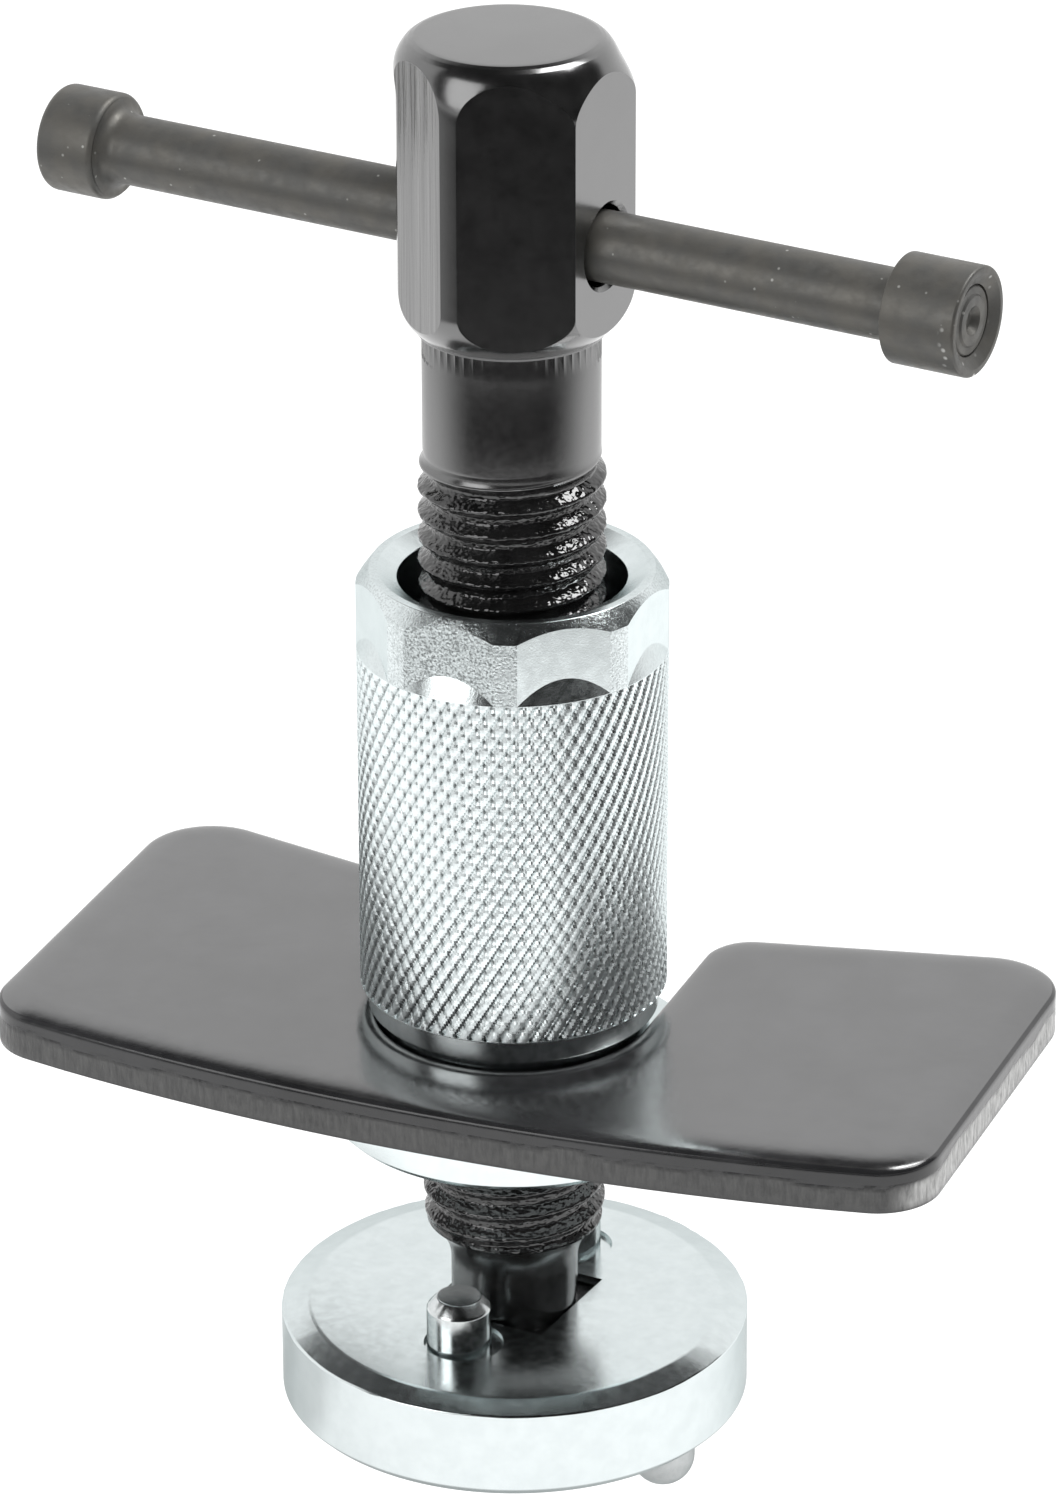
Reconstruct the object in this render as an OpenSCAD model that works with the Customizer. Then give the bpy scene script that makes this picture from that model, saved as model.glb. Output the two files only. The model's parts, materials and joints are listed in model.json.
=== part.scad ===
// Brake caliper piston tool: a screw spindle with a pin adapter presses and turns the piston back,
// while a slotted plate on the thrust nut bears against the caliper.
// Millimetres, +Z up the spindle. The origin is the middle of the adapter disc's lower face, the
// plate's length lies along X and its slot opens towards +Y.

/* [Adapter disc] */
// Diameter of the disc
disc_d = 46.5; // [40:0.5:60]
// Thickness of the disc
disc_t = 10; // [9:0.5:14]
// Width of the bevel round the upper face
disc_bevel_w = 3; // [1:0.1:4]
// Height of the bevel round the upper face
disc_bevel_h = 1.4; // [0.5:0.1:2]
// Small chamfer round the lower face
disc_chamfer = 0.8; // [0.2:0.1:1.5]
// Depth of the square socket in each face
socket_depth = 4.2; // [3:0.1:4.4]
// Angle of the sockets, the square drive end and the pins round the spindle
adapter_angle = -7; // [-30:0.5:30]

/* [Adapter pins] */
// Diameter of every pin
pin_d = 6.4; // [5:0.1:7.5]
// Distance between the two upper pins
upper_pin_span = 22.8; // [22:0.2:30]
// Distance between the two lower pins
lower_pin_span = 33.5; // [28:0.5:36]
// Height of the upper pins above the disc
upper_pin_h = 5.2; // [3:0.1:8]
// Length of the lower pins below the disc
lower_pin_h = 7; // [4:0.5:9]
// Diameter of the end of each pin that is pressed into the disc
pin_root_d = 5; // [3.5:0.1:5]
// Depth that each pin is pressed into the disc
pin_grip = 7; // [5:0.5:8]
// Chamfer on the upper pins
pin_chamfer = 1; // [0.3:0.1:1.5]
// Width of the shallow ring cut round each pin's foot
pin_ring_w = 1.2; // [1.2:0.1:1.4]
// Depth of the ring cut, on whose floor the pin's shoulder sits
pin_ring_depth = 0.5; // [0.2:0.1:1]

/* [Spindle] */
// Width across the flats of the square drive end
drive_af = 12.5; // [10:0.1:13]
// Width across the turned corners of the square drive end
drive_corner_d = 16.8; // [14:0.1:17.5]
// Length of the square drive end
drive_len = 3.2; // [2:0.1:4]
// Diameter of the neck above the drive end
neck_d = 12.6; // [10:0.1:13.5]
// Length of the straight part of the neck
neck_len = 5.45; // [3:0.05:9]
// Radius of the waist's hollow curve
waist_r = 6; // [4:0.5:9]
// Outside diameter of the thread
thread_d = 18; // [16:0.5:20]
// Length of the thread
thread_len = 80.6; // [70:0.2:95]
// Depth of the thread at its ends
thread_depth = 0.6; // [0.4:0.1:1.2]
// Diameter of the plain shank above the thread
shank_d = 17; // [15:0.1:17.5]
// Length of the plain shank
shank_len = 13.8; // [10:0.1:20]
// Diameter of the end that is pressed into the head
spigot_d = 16; // [13:0.1:16.5]
// Length of the end that is pressed into the head
spigot_len = 22; // [18:0.5:24]
// Diameter of the magnet in the drive end
magnet_d = 6; // [4:0.5:8]
// Length of the magnet
magnet_len = 5; // [3:0.5:8]

/* [Hexagon head] */
// Width across the flats of the head
head_af = 20.6; // [19:0.1:22]
// Diameter that the head's corners are turned to
head_corner_d = 22.3; // [21.5:0.1:23]
// Height of the head
head_h = 29; // [27:0.5:34]
// Radius of the curve that rounds the top off
head_top_r = 8; // [6:0.5:12]
// Height of the rounded part at the top
head_top_h = 5.5; // [3:0.1:5.8]
// Radius of the curve that rounds the lower end in
head_foot_r = 5; // [4:0.5:8]
// Height of the rounded part at the lower end
head_foot_h = 4; // [2:0.1:4.5]
// Height of the plain lip under the head
head_lip_h = 0.6; // [0.3:0.1:1.5]
// Height of the bar's hole above the underside of the head
bar_hole_h = 10; // [8:0.5:14]
// Angle of the bar, and of one pair of the head's flats, to the plate
bar_angle = -8.4; // [-30:0.1:30]

/* [Tommy bar] */
// Diameter of the bar
bar_d = 6.8; // [5:0.1:7.5]
// Length of the bar over both knobs
bar_len = 98.7; // [80:0.1:130]
// Diameter of the knobs
knob_d = 10.4; // [9:0.1:13]
// Length of each knob
knob_len = 7.5; // [5:0.1:10]
// Radius of the fillet behind the forged knob
knob_fillet = 1.2; // [0.4:0.1:1.5]
// Chamfer on the knobs' edges
knob_chamfer = 0.6; // [0.2:0.1:1]
// Width of the dished ring in the end of the collar
collar_dish_w = 1.1; // [0.5:0.1:1.4]
// Depth of the dished ring
collar_dish_depth = 0.7; // [0.3:0.1:1.2]
// Diameter of the dimple in the riveted end of the bar
dimple_d = 2.8; // [1.5:0.1:4]
// How far the bar sits off the middle of the head
bar_shift = -0.55; // [-20:0.05:20]

/* [Thrust nut] */
// Clear height between the adapter disc and the nut
nut_lift = 21; // [18:0.5:35]
// Diameter of the flange under the plate
flange_d = 36.6; // [32:0.2:44]
// Thickness of the flange
flange_t = 6.4; // [4:0.1:9]
// Chamfer on the flange's lower edge
flange_chamfer = 0.7; // [0.2:0.1:2]
// Diameter of the ring that sits on the plate
ring_d = 28.4; // [27.6:0.1:29.5]
// Height of that ring
ring_h = 2.3; // [1.5:0.1:5]
// Outside diameter of the knurled sleeve
sleeve_d = 30; // [29:0.1:34]
// Height of the knurled sleeve
sleeve_h = 35.8; // [25:0.1:45]
// Chamfer at the foot of the knurled sleeve
sleeve_chamfer = 0.6; // [0.2:0.1:1]
// Number of knurl grooves each way round the sleeve
knurl_starts = 24; // [16:1:32]
// Depth of the knurl grooves where they cross
knurl_depth = 0.6; // [0.3:0.1:0.8]
// Height of a knurl diamond, in widths of a diamond
knurl_slope = 1.7; // [1.2:0.1:2.2]
// Plain rim left at each end of the knurl
knurl_rim = 0.3; // [0.2:0.1:1]
// Width across the flats of the eight-sided wrench part
wrench_af = 28.5; // [27.8:0.1:28.8]
// Height of the wrench part
wrench_h = 8; // [6:0.1:14]
// Height of the sloping half-moons at the foot of the flats
half_moon_h = 2.2; // [1:0.1:4]
// Height of the chamfer on the top corners
top_chamfer_h = 1.7; // [0.8:0.1:2.5]
// Outside diameter of the flat rim on top
rim_d = 27.4; // [26.4:0.1:28]
// Width of the flat rim on top
rim_w = 0.8; // [0.3:0.1:1.2]
// Angle of one corner of the wrench part
wrench_angle = 19; // [0:1:45]
// Diameter of the counterbore round the spindle
counterbore_d = 22; // [20.5:0.1:23.5]
// Depth of the counterbore below its countersink
counterbore_depth = 26; // [10:1:35]
// Depth of the countersink at the top
countersink_depth = 0.9; // [0.3:0.1:2]
// Chamfer at the lower end of the threaded hole
hole_chamfer = 1; // [0.4:0.1:2]

/* [Reaction plate] */
// Thickness of the plate
plate_t = 5; // [4:0.1:8]
// Length of the plate
plate_l = 97.4; // [80:0.2:120]
// Distance from the nut's axis to the front edge at its middle
plate_front = 24.1; // [22:0.1:30]
// Radius of the bowed front edge
front_r = 228; // [150:1:400]
// Distance from the nut's axis to the line of the back edges
plate_back = 18.4; // [16:0.1:24]
// Slope of the two back edges
back_slope = 12.85; // [5:0.05:20]
// Width of the slot
slot_w = 27.2; // [25:0.1:28.2]
// Radius of the front corners
front_corner_r = 6.5; // [3:0.1:7]
// Radius of the back corners
back_corner_r = 7; // [4:0.1:12]
// Radius of the corners at the slot's mouth
mouth_corner_r = 5; // [3.5:0.1:7]
// Width of the upper edge that the punch has drawn in
roll_w = 2.6; // [1:0.1:3]
// Height of the upper edge that the punch has drawn in
roll_h = 0.9; // [0.3:0.1:2]

/* [Clearances] */
// Running gap between the thread and the nut, all round
thread_gap = 0.05; // [0.02:0.01:0.1]
// Gap between the nut's neck and the slot, each side
slot_gap = 0.3; // [0.2:0.05:0.6]
// Gap under the plate on the flange
seat_gap = 0.1; // [0.05:0.05:0.3]
// Play of the plate below the nut's ring
plate_play = 0.4; // [0.2:0.1:1]
// Gap round the bar in its hole
bar_gap = 0.25; // [0.1:0.05:0.5]
// Gap round the square drive in its socket
drive_gap = 0.2; // [0.1:0.05:0.4]
// Small gap where the drive end and the magnet seat
rest_gap = 0.05; // [0.02:0.01:0.1]

/* [Hidden] */

zinc = [0.84, 0.87, 0.88];
black_paint = [0.07, 0.07, 0.075];
oiled_steel = [0.27, 0.27, 0.26];
magnet_nickel = [0.62, 0.61, 0.58];

$fn = 96;
curve_steps = 10;
front_steps = 4;
slot_steps = 24;
roll_steps = 5;
half_turn = 180;
cut = 0.5;

// Heights up the spindle
drive_z = disc_t - socket_depth + rest_gap;
neck_z = drive_z + drive_len;
waist_z = neck_z + neck_len;
thread_core_r = thread_d / 2 - thread_depth;
waist_turn = acos(1 - (thread_core_r - neck_d / 2) / waist_r);
thread_z = waist_z + waist_r * sin(waist_turn);
shank_z = thread_z + thread_len;
head_z = shank_z + shank_len;
bar_z = head_z + bar_hole_h;
bar_hole_d = bar_d + 2 * bar_gap;

// Heights up the nut
nut_z = disc_t + nut_lift;
neck_h = seat_gap + plate_t + plate_play;
nut_neck_d = slot_w - 2 * slot_gap;
ring_z = flange_t + neck_h;
sleeve_z = ring_z + ring_h;
wrench_z = sleeve_z + sleeve_h;
nut_h = wrench_z + wrench_h;
plate_z = nut_z + flange_t + seat_gap;

// The knurl's grid: rows of points on the sleeve, half a diamond apart
knurl_z = sleeve_z + sleeve_chamfer + knurl_rim;
knurl_h = wrench_z - knurl_rim - knurl_z;
knurl_rows = round(2 * knurl_h * knurl_starts / (PI * sleeve_d * knurl_slope));
knurl_skim = 0.05;

// Unit vector from point a to point b
function toward(a, b) = (b - a) / norm(b - a);

// Points of the arc of radius r that rounds corner p between its neighbours a and b
function corner_arc(a, p, b, r) =
    let (u = toward(p, a),
         v = toward(p, b),
         half = acos(u * v) / 2,
         middle = p + toward([0, 0], u + v) * r / sin(half),
         first = p + u * r / tan(half) - middle,
         last = p + v * r / tan(half) - middle,
         from = atan2(first.y, first.x),
         sweep = (atan2(last.y, last.x) - from + 3 * half_turn) % (2 * half_turn) - half_turn)
    [for (i = [0:curve_steps])
        let (turn = from + sweep * i / curve_steps)
        middle + r * [cos(turn), sin(turn)]];

// An outline from corners given as [x, y, radius]; radius 0 keeps the corner sharp
function rounded(corners) =
    let (n = len(corners))
    [for (i = [0:n - 1])
        let (c = corners[i],
             before = corners[(i + n - 1) % n],
             after = corners[(i + 1) % n],
             p = [c.x, c.y])
        each c.z == 0 ? [p] : corner_arc([before.x, before.y], p, [after.x, after.y], c.z)];

// Place of the bowed front edge and of the sloping back edges at a distance x from the middle
function front_y(x) = front_r - plate_front - sqrt(front_r * front_r - x * x);
function back_y(x) = plate_back + tan(back_slope) * abs(x);

// Place of point i of the front edge beside the slot, counted outwards from the slot's side
function wing_x(i) = slot_w / 2 + (plate_l - slot_w) / 2 * i / front_steps;

// The plate's outline, anticlockwise: right wing, round end of the slot, left wing, front of the web
function plate_outline() =
    let (end = plate_l / 2, slot = slot_w / 2)
    rounded(concat(
        [for (i = [0:front_steps - 1]) [wing_x(i), front_y(wing_x(i)), 0]],
        [[end, front_y(end), front_corner_r],
         [end, back_y(end), back_corner_r],
         [slot, back_y(slot), mouth_corner_r]],
        [for (i = [0:slot_steps])
            let (turn = half_turn * i / slot_steps) [slot * cos(turn), -slot * sin(turn), 0]],
        [[-slot, back_y(slot), mouth_corner_r],
         [-end, back_y(end), back_corner_r],
         [-end, front_y(end), front_corner_r]],
        [for (i = [front_steps - 1:-1:0]) [-wing_x(i), front_y(wing_x(i)), 0]],
        [for (i = [slot_steps - 1:-1:1])
            let (x = slot * (1 - 2 * i / slot_steps)) [x, front_y(x), 0]]));

// Triangles, anticlockwise, of a face with the plate's n points: both wings, then the web
function plate_face(n) =
    let (right = n / 2 - slot_steps, left = right + slot_steps)
    concat(
        [for (i = [0:right - 2]) [right, i, i + 1]],
        [for (i = [1:right - 1]) [left, left + i, left + i + 1]],
        [for (i = [0:slot_steps - 1])
            let (a = right + i, b = n - i)
            each [[b % n, a, a + 1], [b % n, a + 1, b - 1]]]);

// An anticlockwise outline drawn in by a distance
function drawn_in(outline, distance) =
    let (n = len(outline))
    [for (i = [0:n - 1])
        let (p = outline[i],
             before = toward(outline[(i + n - 1) % n], p),
             after = toward(p, outline[(i + 1) % n]),
             along = toward([0, 0], before + after))
        p + [-along.y, along.x] * distance / (along * after)];

// A pin in a face at z = 0: its thinner pressed end, then its body up to a height above the face
module pin_body(height) {
    translate([0, 0, -pin_grip]) cylinder(d = pin_root_d, h = pin_grip - pin_ring_depth);
    translate([0, 0, -pin_ring_depth]) cylinder(d = pin_d, h = pin_ring_depth + height);
}

// A pin with a chamfered tip
module chamfered_pin(height) {
    pin_body(height - pin_chamfer);
    translate([0, 0, height - pin_chamfer])
        cylinder(d1 = pin_d, d2 = pin_d - 2 * pin_chamfer, h = pin_chamfer);
}

// A pin with a round tip
module domed_pin(height) {
    pin_body(height - pin_d / 2);
    translate([0, 0, height - pin_d / 2]) sphere(d = pin_d);
}

// The hole of a pin that enters the face at z = 0 downwards, with the ring cut at its mouth
module pin_hole() {
    translate([0, 0, -pin_grip]) cylinder(d = pin_root_d, h = pin_grip + cut);
    translate([0, 0, -pin_ring_depth]) cylinder(d = pin_d + 2 * pin_ring_w, h = pin_ring_depth + cut);
}

// A square socket that enters the face at z = 0 downwards
module socket() {
    width = drive_af + 2 * drive_gap;
    translate([-width / 2, -width / 2, -socket_depth]) cube([width, width, socket_depth + cut]);
}

module adapter_disc() {
    disc_r = disc_d / 2;
    color(zinc) difference() {
        rotate_extrude() polygon([
            [0, 0],
            [disc_r - disc_chamfer, 0],
            [disc_r, disc_chamfer],
            [disc_r, disc_t - disc_bevel_h],
            [disc_r - disc_bevel_w, disc_t],
            [0, disc_t]]);
        rotate([0, 0, adapter_angle]) {
            translate([0, 0, disc_t]) socket();
            mirror([0, 0, 1]) socket();
            for (side = [-1, 1]) {
                translate([0, side * upper_pin_span / 2, disc_t]) pin_hole();
                translate([side * lower_pin_span / 2, 0, 0]) mirror([0, 0, 1]) pin_hole();
            }
        }
    }
}

module upper_pin(side) {
    color(zinc) rotate([0, 0, adapter_angle]) translate([0, side * upper_pin_span / 2, disc_t])
        chamfered_pin(upper_pin_h);
}

module lower_pin(side) {
    color(zinc) rotate([0, 0, adapter_angle]) translate([side * lower_pin_span / 2, 0, 0])
        mirror([0, 0, 1]) domed_pin(lower_pin_h);
}

module upper_pin_front() upper_pin(-1);
module upper_pin_rear() upper_pin(1);
module lower_pin_left() lower_pin(-1);
module lower_pin_right() lower_pin(1);

module adapter_magnet() {
    color(magnet_nickel) translate([0, 0, drive_z]) cylinder(d = magnet_d, h = magnet_len);
}

// The hole for the bar, through whatever stands at the head's place
module bar_hole() {
    translate([0, 0, bar_z]) rotate([0, 90, bar_angle])
        cylinder(d = bar_hole_d, h = 2 * head_corner_d, center = true);
}

module spindle() {
    color(black_paint) difference() {
        union() {
            translate([0, 0, drive_z]) intersection() {
                rotate([0, 0, adapter_angle]) translate([-drive_af / 2, -drive_af / 2, 0])
                    cube([drive_af, drive_af, drive_len]);
                cylinder(d = drive_corner_d, h = drive_len);
            }
            rotate_extrude() polygon(concat(
                [[0, neck_z]],
                [for (i = [0:curve_steps])
                    let (turn = waist_turn * i / curve_steps)
                    [neck_d / 2 + waist_r * (1 - cos(turn)), waist_z + waist_r * sin(turn)]],
                [[thread_d / 2, thread_z + thread_depth],
                 [thread_d / 2, shank_z - thread_depth],
                 [shank_d / 2, shank_z],
                 [shank_d / 2, head_z],
                 [spigot_d / 2, head_z],
                 [spigot_d / 2, head_z + spigot_len],
                 [0, head_z + spigot_len]]));
            translate([0, 0, neck_z]) cylinder(d = neck_d, h = neck_len);
        }
        translate([0, 0, drive_z - cut])
            cylinder(d = magnet_d + 2 * rest_gap, h = cut + magnet_len + rest_gap);
        bar_hole();
    }
}

module hex_head() {
    corner_r = head_corner_d / 2;
    foot_r = corner_r - head_foot_r + sqrt(head_foot_r * head_foot_r - head_foot_h * head_foot_h);
    top_z = head_h - head_top_h;
    foot_z = head_lip_h + head_foot_h;
    color(black_paint) difference() {
        translate([0, 0, head_z]) intersection() {
            rotate([0, 0, bar_angle + 30]) cylinder(d = head_af / cos(30), h = head_h, $fn = 6);
            rotate_extrude() polygon(concat(
                [[0, 0], [foot_r, 0]],
                [for (i = [0:curve_steps])
                    let (drop = head_foot_h * (1 - i / curve_steps))
                    [corner_r - head_foot_r + sqrt(head_foot_r * head_foot_r - drop * drop),
                     foot_z - drop]],
                [for (i = [0:curve_steps])
                    let (rise = head_top_h * i / curve_steps)
                    [corner_r - head_top_r + sqrt(head_top_r * head_top_r - rise * rise), top_z + rise]],
                [[0, head_h]]));
        }
        translate([0, 0, head_z - cut]) cylinder(d = spigot_d, h = cut + spigot_len);
        bar_hole();
    }
}

// Sets a shape that lies along Z, with the bar's middle at z = 0, in the bar's place
module at_bar() {
    translate([0, 0, bar_z]) rotate([0, 90, bar_angle]) translate([0, 0, bar_shift]) children();
}

module tommy_bar() {
    bar_r = bar_d / 2;
    knob_r = knob_d / 2;
    end = bar_len / 2;
    knob_z = -end + knob_len;
    color(oiled_steel) at_bar() difference() {
        rotate_extrude() polygon(concat(
            [[0, -end],
             [knob_r - knob_chamfer, -end],
             [knob_r, -end + knob_chamfer],
             [knob_r, knob_z - knob_chamfer],
             [knob_r - knob_chamfer, knob_z]],
            [for (i = [0:curve_steps])
                let (turn = 90 * i / curve_steps)
                [bar_r + knob_fillet * (1 - sin(turn)), knob_z + knob_fillet * (1 - cos(turn))]],
            [[bar_r, end - collar_dish_depth],
             [0, end - collar_dish_depth]]));
        translate([0, 0, end - collar_dish_depth]) sphere(d = dimple_d);
    }
}

module bar_end_collar() {
    bar_r = bar_d / 2;
    knob_r = knob_d / 2;
    end = bar_len / 2;
    color(oiled_steel) at_bar() rotate_extrude() polygon([
        [bar_r, end - knob_len],
        [knob_r, end - knob_len],
        [knob_r, end - knob_chamfer / 2],
        [knob_r - knob_chamfer / 2, end],
        [bar_r + collar_dish_w, end],
        [bar_r, end - collar_dish_depth]]);
}

// Point of the knurl's grid: grooves cross at every second point, and between them stand the peaks
function knurl_point(row, step) =
    let (turn = half_turn * step / knurl_starts,
         r = sleeve_d / 2 - ((row + step) % 2 == 0 ? knurl_depth : knurl_skim))
    [r * cos(turn), r * sin(turn), knurl_z + knurl_h * row / knurl_rows];

// What the knurling takes off the sleeve: a tube with pyramids on its inner wall
module knurl_cutter() {
    n = 2 * knurl_starts;
    outer = n * (knurl_rows + 1);
    outer_r = sleeve_d / 2 + cut;
    polyhedron(
        points = concat(
            [for (row = [0:knurl_rows]) for (step = [0:n - 1]) knurl_point(row, step)],
            [for (row = [0, knurl_rows]) for (step = [0:n - 1])
                let (turn = half_turn * step / knurl_starts)
                [outer_r * cos(turn), outer_r * sin(turn), knurl_z + knurl_h * row / knurl_rows]]),
        faces = concat(
            [for (row = [0:knurl_rows - 1]) for (step = [0:n - 1])
                let (a = row * n + step, b = row * n + (step + 1) % n)
                each (row + step) % 2 == 0
                    ? [[a, b, b + n], [a, b + n, a + n]]
                    : [[a, b, a + n], [b, b + n, a + n]]],
            [for (step = [0:n - 1])
                let (next = (step + 1) % n,
                     top = knurl_rows * n,
                     rise = outer + n)
                each [[outer + step, rise + step, rise + next, outer + next],
                      [step, outer + step, outer + next, next],
                      [top + step, top + next, rise + next, rise + step]]]));
}

// The space that the eight flats and their sloping feet leave of the nut
module wrench_envelope() {
    taper = (sleeve_d - wrench_af) / half_moon_h;
    cylinder(d = sleeve_d + flange_d, h = wrench_z);
    translate([0, 0, wrench_z]) cylinder(d1 = sleeve_d, d2 = sleeve_d - taper * wrench_h, h = wrench_h);
    translate([0, 0, wrench_z]) rotate([0, 0, wrench_angle])
        cylinder(d = wrench_af / cos(22.5), h = wrench_h, $fn = 8);
}

module thrust_nut() {
    counterbore_z = nut_h - countersink_depth - counterbore_depth;
    hole_d = thread_d + 2 * thread_gap;
    rim_inner_d = rim_d - 2 * rim_w;
    color(zinc) translate([0, 0, nut_z]) difference() {
        intersection() {
            rotate_extrude() polygon([
                [0, 0],
                [flange_d / 2 - flange_chamfer, 0],
                [flange_d / 2, flange_chamfer],
                [flange_d / 2, flange_t],
                [nut_neck_d / 2, flange_t],
                [nut_neck_d / 2, ring_z],
                [ring_d / 2, ring_z],
                [ring_d / 2, sleeve_z],
                [sleeve_d / 2, sleeve_z + sleeve_chamfer],
                [sleeve_d / 2, nut_h - top_chamfer_h],
                [rim_d / 2, nut_h],
                [0, nut_h]]);
            wrench_envelope();
        }
        translate([0, 0, -cut]) cylinder(d = hole_d, h = nut_h);
        translate([0, 0, counterbore_z]) cylinder(d = counterbore_d, h = nut_h);
        translate([0, 0, nut_h - countersink_depth])
            cylinder(d1 = counterbore_d, d2 = rim_inner_d, h = countersink_depth);
        cylinder(d1 = hole_d + 2 * hole_chamfer, d2 = hole_d, h = hole_chamfer);
        knurl_cutter();
    }
}

// The plate is a stack of outlines: the straight punched side, then the drawn-in upper edge
module reaction_plate() {
    outline = plate_outline();
    n = len(outline);
    levels = concat(
        [[0, 0]],
        [for (i = [0:roll_steps])
            let (turn = half_turn / 2 * i / roll_steps)
            [roll_w * (1 - cos(turn)), plate_t - roll_h * (1 - sin(turn))]]);
    top = len(levels) - 1;
    color(black_paint) translate([0, 0, plate_z]) polyhedron(
        points = [for (level = levels) for (p = drawn_in(outline, level[0])) [p.x, p.y, level[1]]],
        faces = concat(
            plate_face(n),
            [for (t = plate_face(n)) [for (i = [2:-1:0]) top * n + t[i]]],
            [for (k = [0:top - 1]) for (i = [0:n - 1])
                let (a = k * n + i, b = k * n + (i + 1) % n)
                each [[a, a + n, b + n], [a, b + n, b]]]));
}

reaction_plate();
thrust_nut();
spindle();
hex_head();
tommy_bar();
bar_end_collar();
adapter_disc();
upper_pin_front();
upper_pin_rear();
lower_pin_left();
lower_pin_right();
adapter_magnet();
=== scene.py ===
"""Looks of a brake caliper piston tool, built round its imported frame.

Lengths are in millimetres and MM turns them into metres. Every piece stands where its solid stands:
heights come from the frame, and the rest are the sizes of the tool's own forms.
"""

import json
import logging
import math
from contextlib import contextmanager
from dataclasses import dataclass, replace
from enum import Enum
from itertools import pairwise
from typing import Callable, Iterator, Sequence

import bmesh
import bpy
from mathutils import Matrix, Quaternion, Vector, noise


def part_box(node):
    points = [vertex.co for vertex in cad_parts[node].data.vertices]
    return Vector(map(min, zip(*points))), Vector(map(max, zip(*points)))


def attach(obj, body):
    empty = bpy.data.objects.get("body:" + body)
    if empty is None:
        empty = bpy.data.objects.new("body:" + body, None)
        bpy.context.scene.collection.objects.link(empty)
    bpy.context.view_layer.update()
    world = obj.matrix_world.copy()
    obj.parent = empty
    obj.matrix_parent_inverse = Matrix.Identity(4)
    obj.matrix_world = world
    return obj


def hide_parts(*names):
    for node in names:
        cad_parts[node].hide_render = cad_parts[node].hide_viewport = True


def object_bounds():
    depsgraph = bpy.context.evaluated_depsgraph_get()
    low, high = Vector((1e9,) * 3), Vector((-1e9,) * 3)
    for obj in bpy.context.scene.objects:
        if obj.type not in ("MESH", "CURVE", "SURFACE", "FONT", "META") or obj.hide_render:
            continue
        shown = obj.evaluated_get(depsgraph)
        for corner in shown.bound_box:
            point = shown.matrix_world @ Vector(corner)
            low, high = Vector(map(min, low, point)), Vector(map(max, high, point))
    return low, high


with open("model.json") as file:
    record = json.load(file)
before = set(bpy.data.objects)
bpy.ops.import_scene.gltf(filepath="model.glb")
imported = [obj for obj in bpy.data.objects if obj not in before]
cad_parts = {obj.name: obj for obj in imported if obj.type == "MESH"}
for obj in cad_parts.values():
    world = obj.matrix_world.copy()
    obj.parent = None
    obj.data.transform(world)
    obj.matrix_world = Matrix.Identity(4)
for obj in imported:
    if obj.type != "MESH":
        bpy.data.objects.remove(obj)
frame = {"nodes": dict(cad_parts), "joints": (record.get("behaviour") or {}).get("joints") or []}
cad_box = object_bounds()

Piece = bpy.types.Object
Socket = bpy.types.NodeSocket
Colour = tuple[float, float, float]
Stretch = tuple[float, float, float]
Span = tuple[float, float]

log = logging.getLogger("piston_tool")

MM = 0.001
# Doubled points are merged within this distance, in metres.
WELD = 1e-6
# How far from a rim's height its points are looked for.
RIM_REACH = 0.1
# A cutting tool stands out of the piece it cuts by this much, or by a multiple of it.
OVERCUT = 1.0
# Largest angle between two points of an arc.
ARC_STEP = math.radians(15)


class Part(Enum):
    """What edit mode selects."""

    POINTS = "VERT"
    EDGES = "EDGE"
    FACES = "FACE"


class Join(Enum):
    """How one solid is combined with another."""

    CUT = "DIFFERENCE"
    COMMON = "INTERSECT"
    ADD = "UNION"


@dataclass(frozen=True)
class Corner:
    """A corner of a turned profile: its radius and height, and the radius that rounds it."""

    r: float
    z: float
    fillet: float = 0.0


def low(node: str) -> float:
    """Height of a solid's lowest point, in millimetres."""
    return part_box(node)[0].z / MM


def high(node: str) -> float:
    """Height of a solid's highest point, in millimetres."""
    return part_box(node)[1].z / MM


def radius(point: Vector) -> float:
    """Distance of a point from the spindle's axis, in millimetres."""
    return math.hypot(point.x, point.y) / MM


def heading(point: Vector) -> float:
    """Angle of a point round the spindle's axis, from 0 to a full turn."""
    return math.atan2(point.y, point.x) % math.tau


def ease(value: float) -> float:
    """Smooth step from 0 to 1."""
    t = min(max(value, 0.0), 1.0)
    return t * t * (3 - 2 * t)


def take_up(piece: Piece) -> None:
    """Makes one piece the only selected and active object."""
    for other in bpy.context.selected_objects:
        other.select_set(False)
    piece.select_set(True)
    bpy.context.view_layer.objects.active = piece


@contextmanager
def edit(piece: Piece) -> Iterator[None]:
    """Edit mode on one piece, with all of it selected."""
    take_up(piece)
    bpy.ops.object.mode_set(mode="EDIT")
    bpy.ops.mesh.select_mode(type=Part.POINTS.value)
    bpy.ops.mesh.select_all(action="SELECT")
    yield
    bpy.ops.object.mode_set(mode="OBJECT")


def pick(piece: Piece, part: Part, wanted: Callable[..., bool]) -> int:
    """Selects, in edit mode, only what passes a test.

    Args:
        piece: The piece in edit mode.
        part: Whether points, edges or faces are selected.
        wanted: Test on one point, edge or face.

    Returns:
        How many were selected.
    """
    bpy.ops.mesh.select_mode(type=part.value)
    bpy.ops.mesh.select_all(action="DESELECT")
    shape = bmesh.from_edit_mesh(piece.data)
    choice = {Part.POINTS: shape.verts, Part.EDGES: shape.edges, Part.FACES: shape.faces}[part]
    found = [element for element in choice if wanted(element)]
    for element in found:
        element.select_set(True)
    bmesh.update_edit_mesh(piece.data)
    return len(found)


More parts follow.
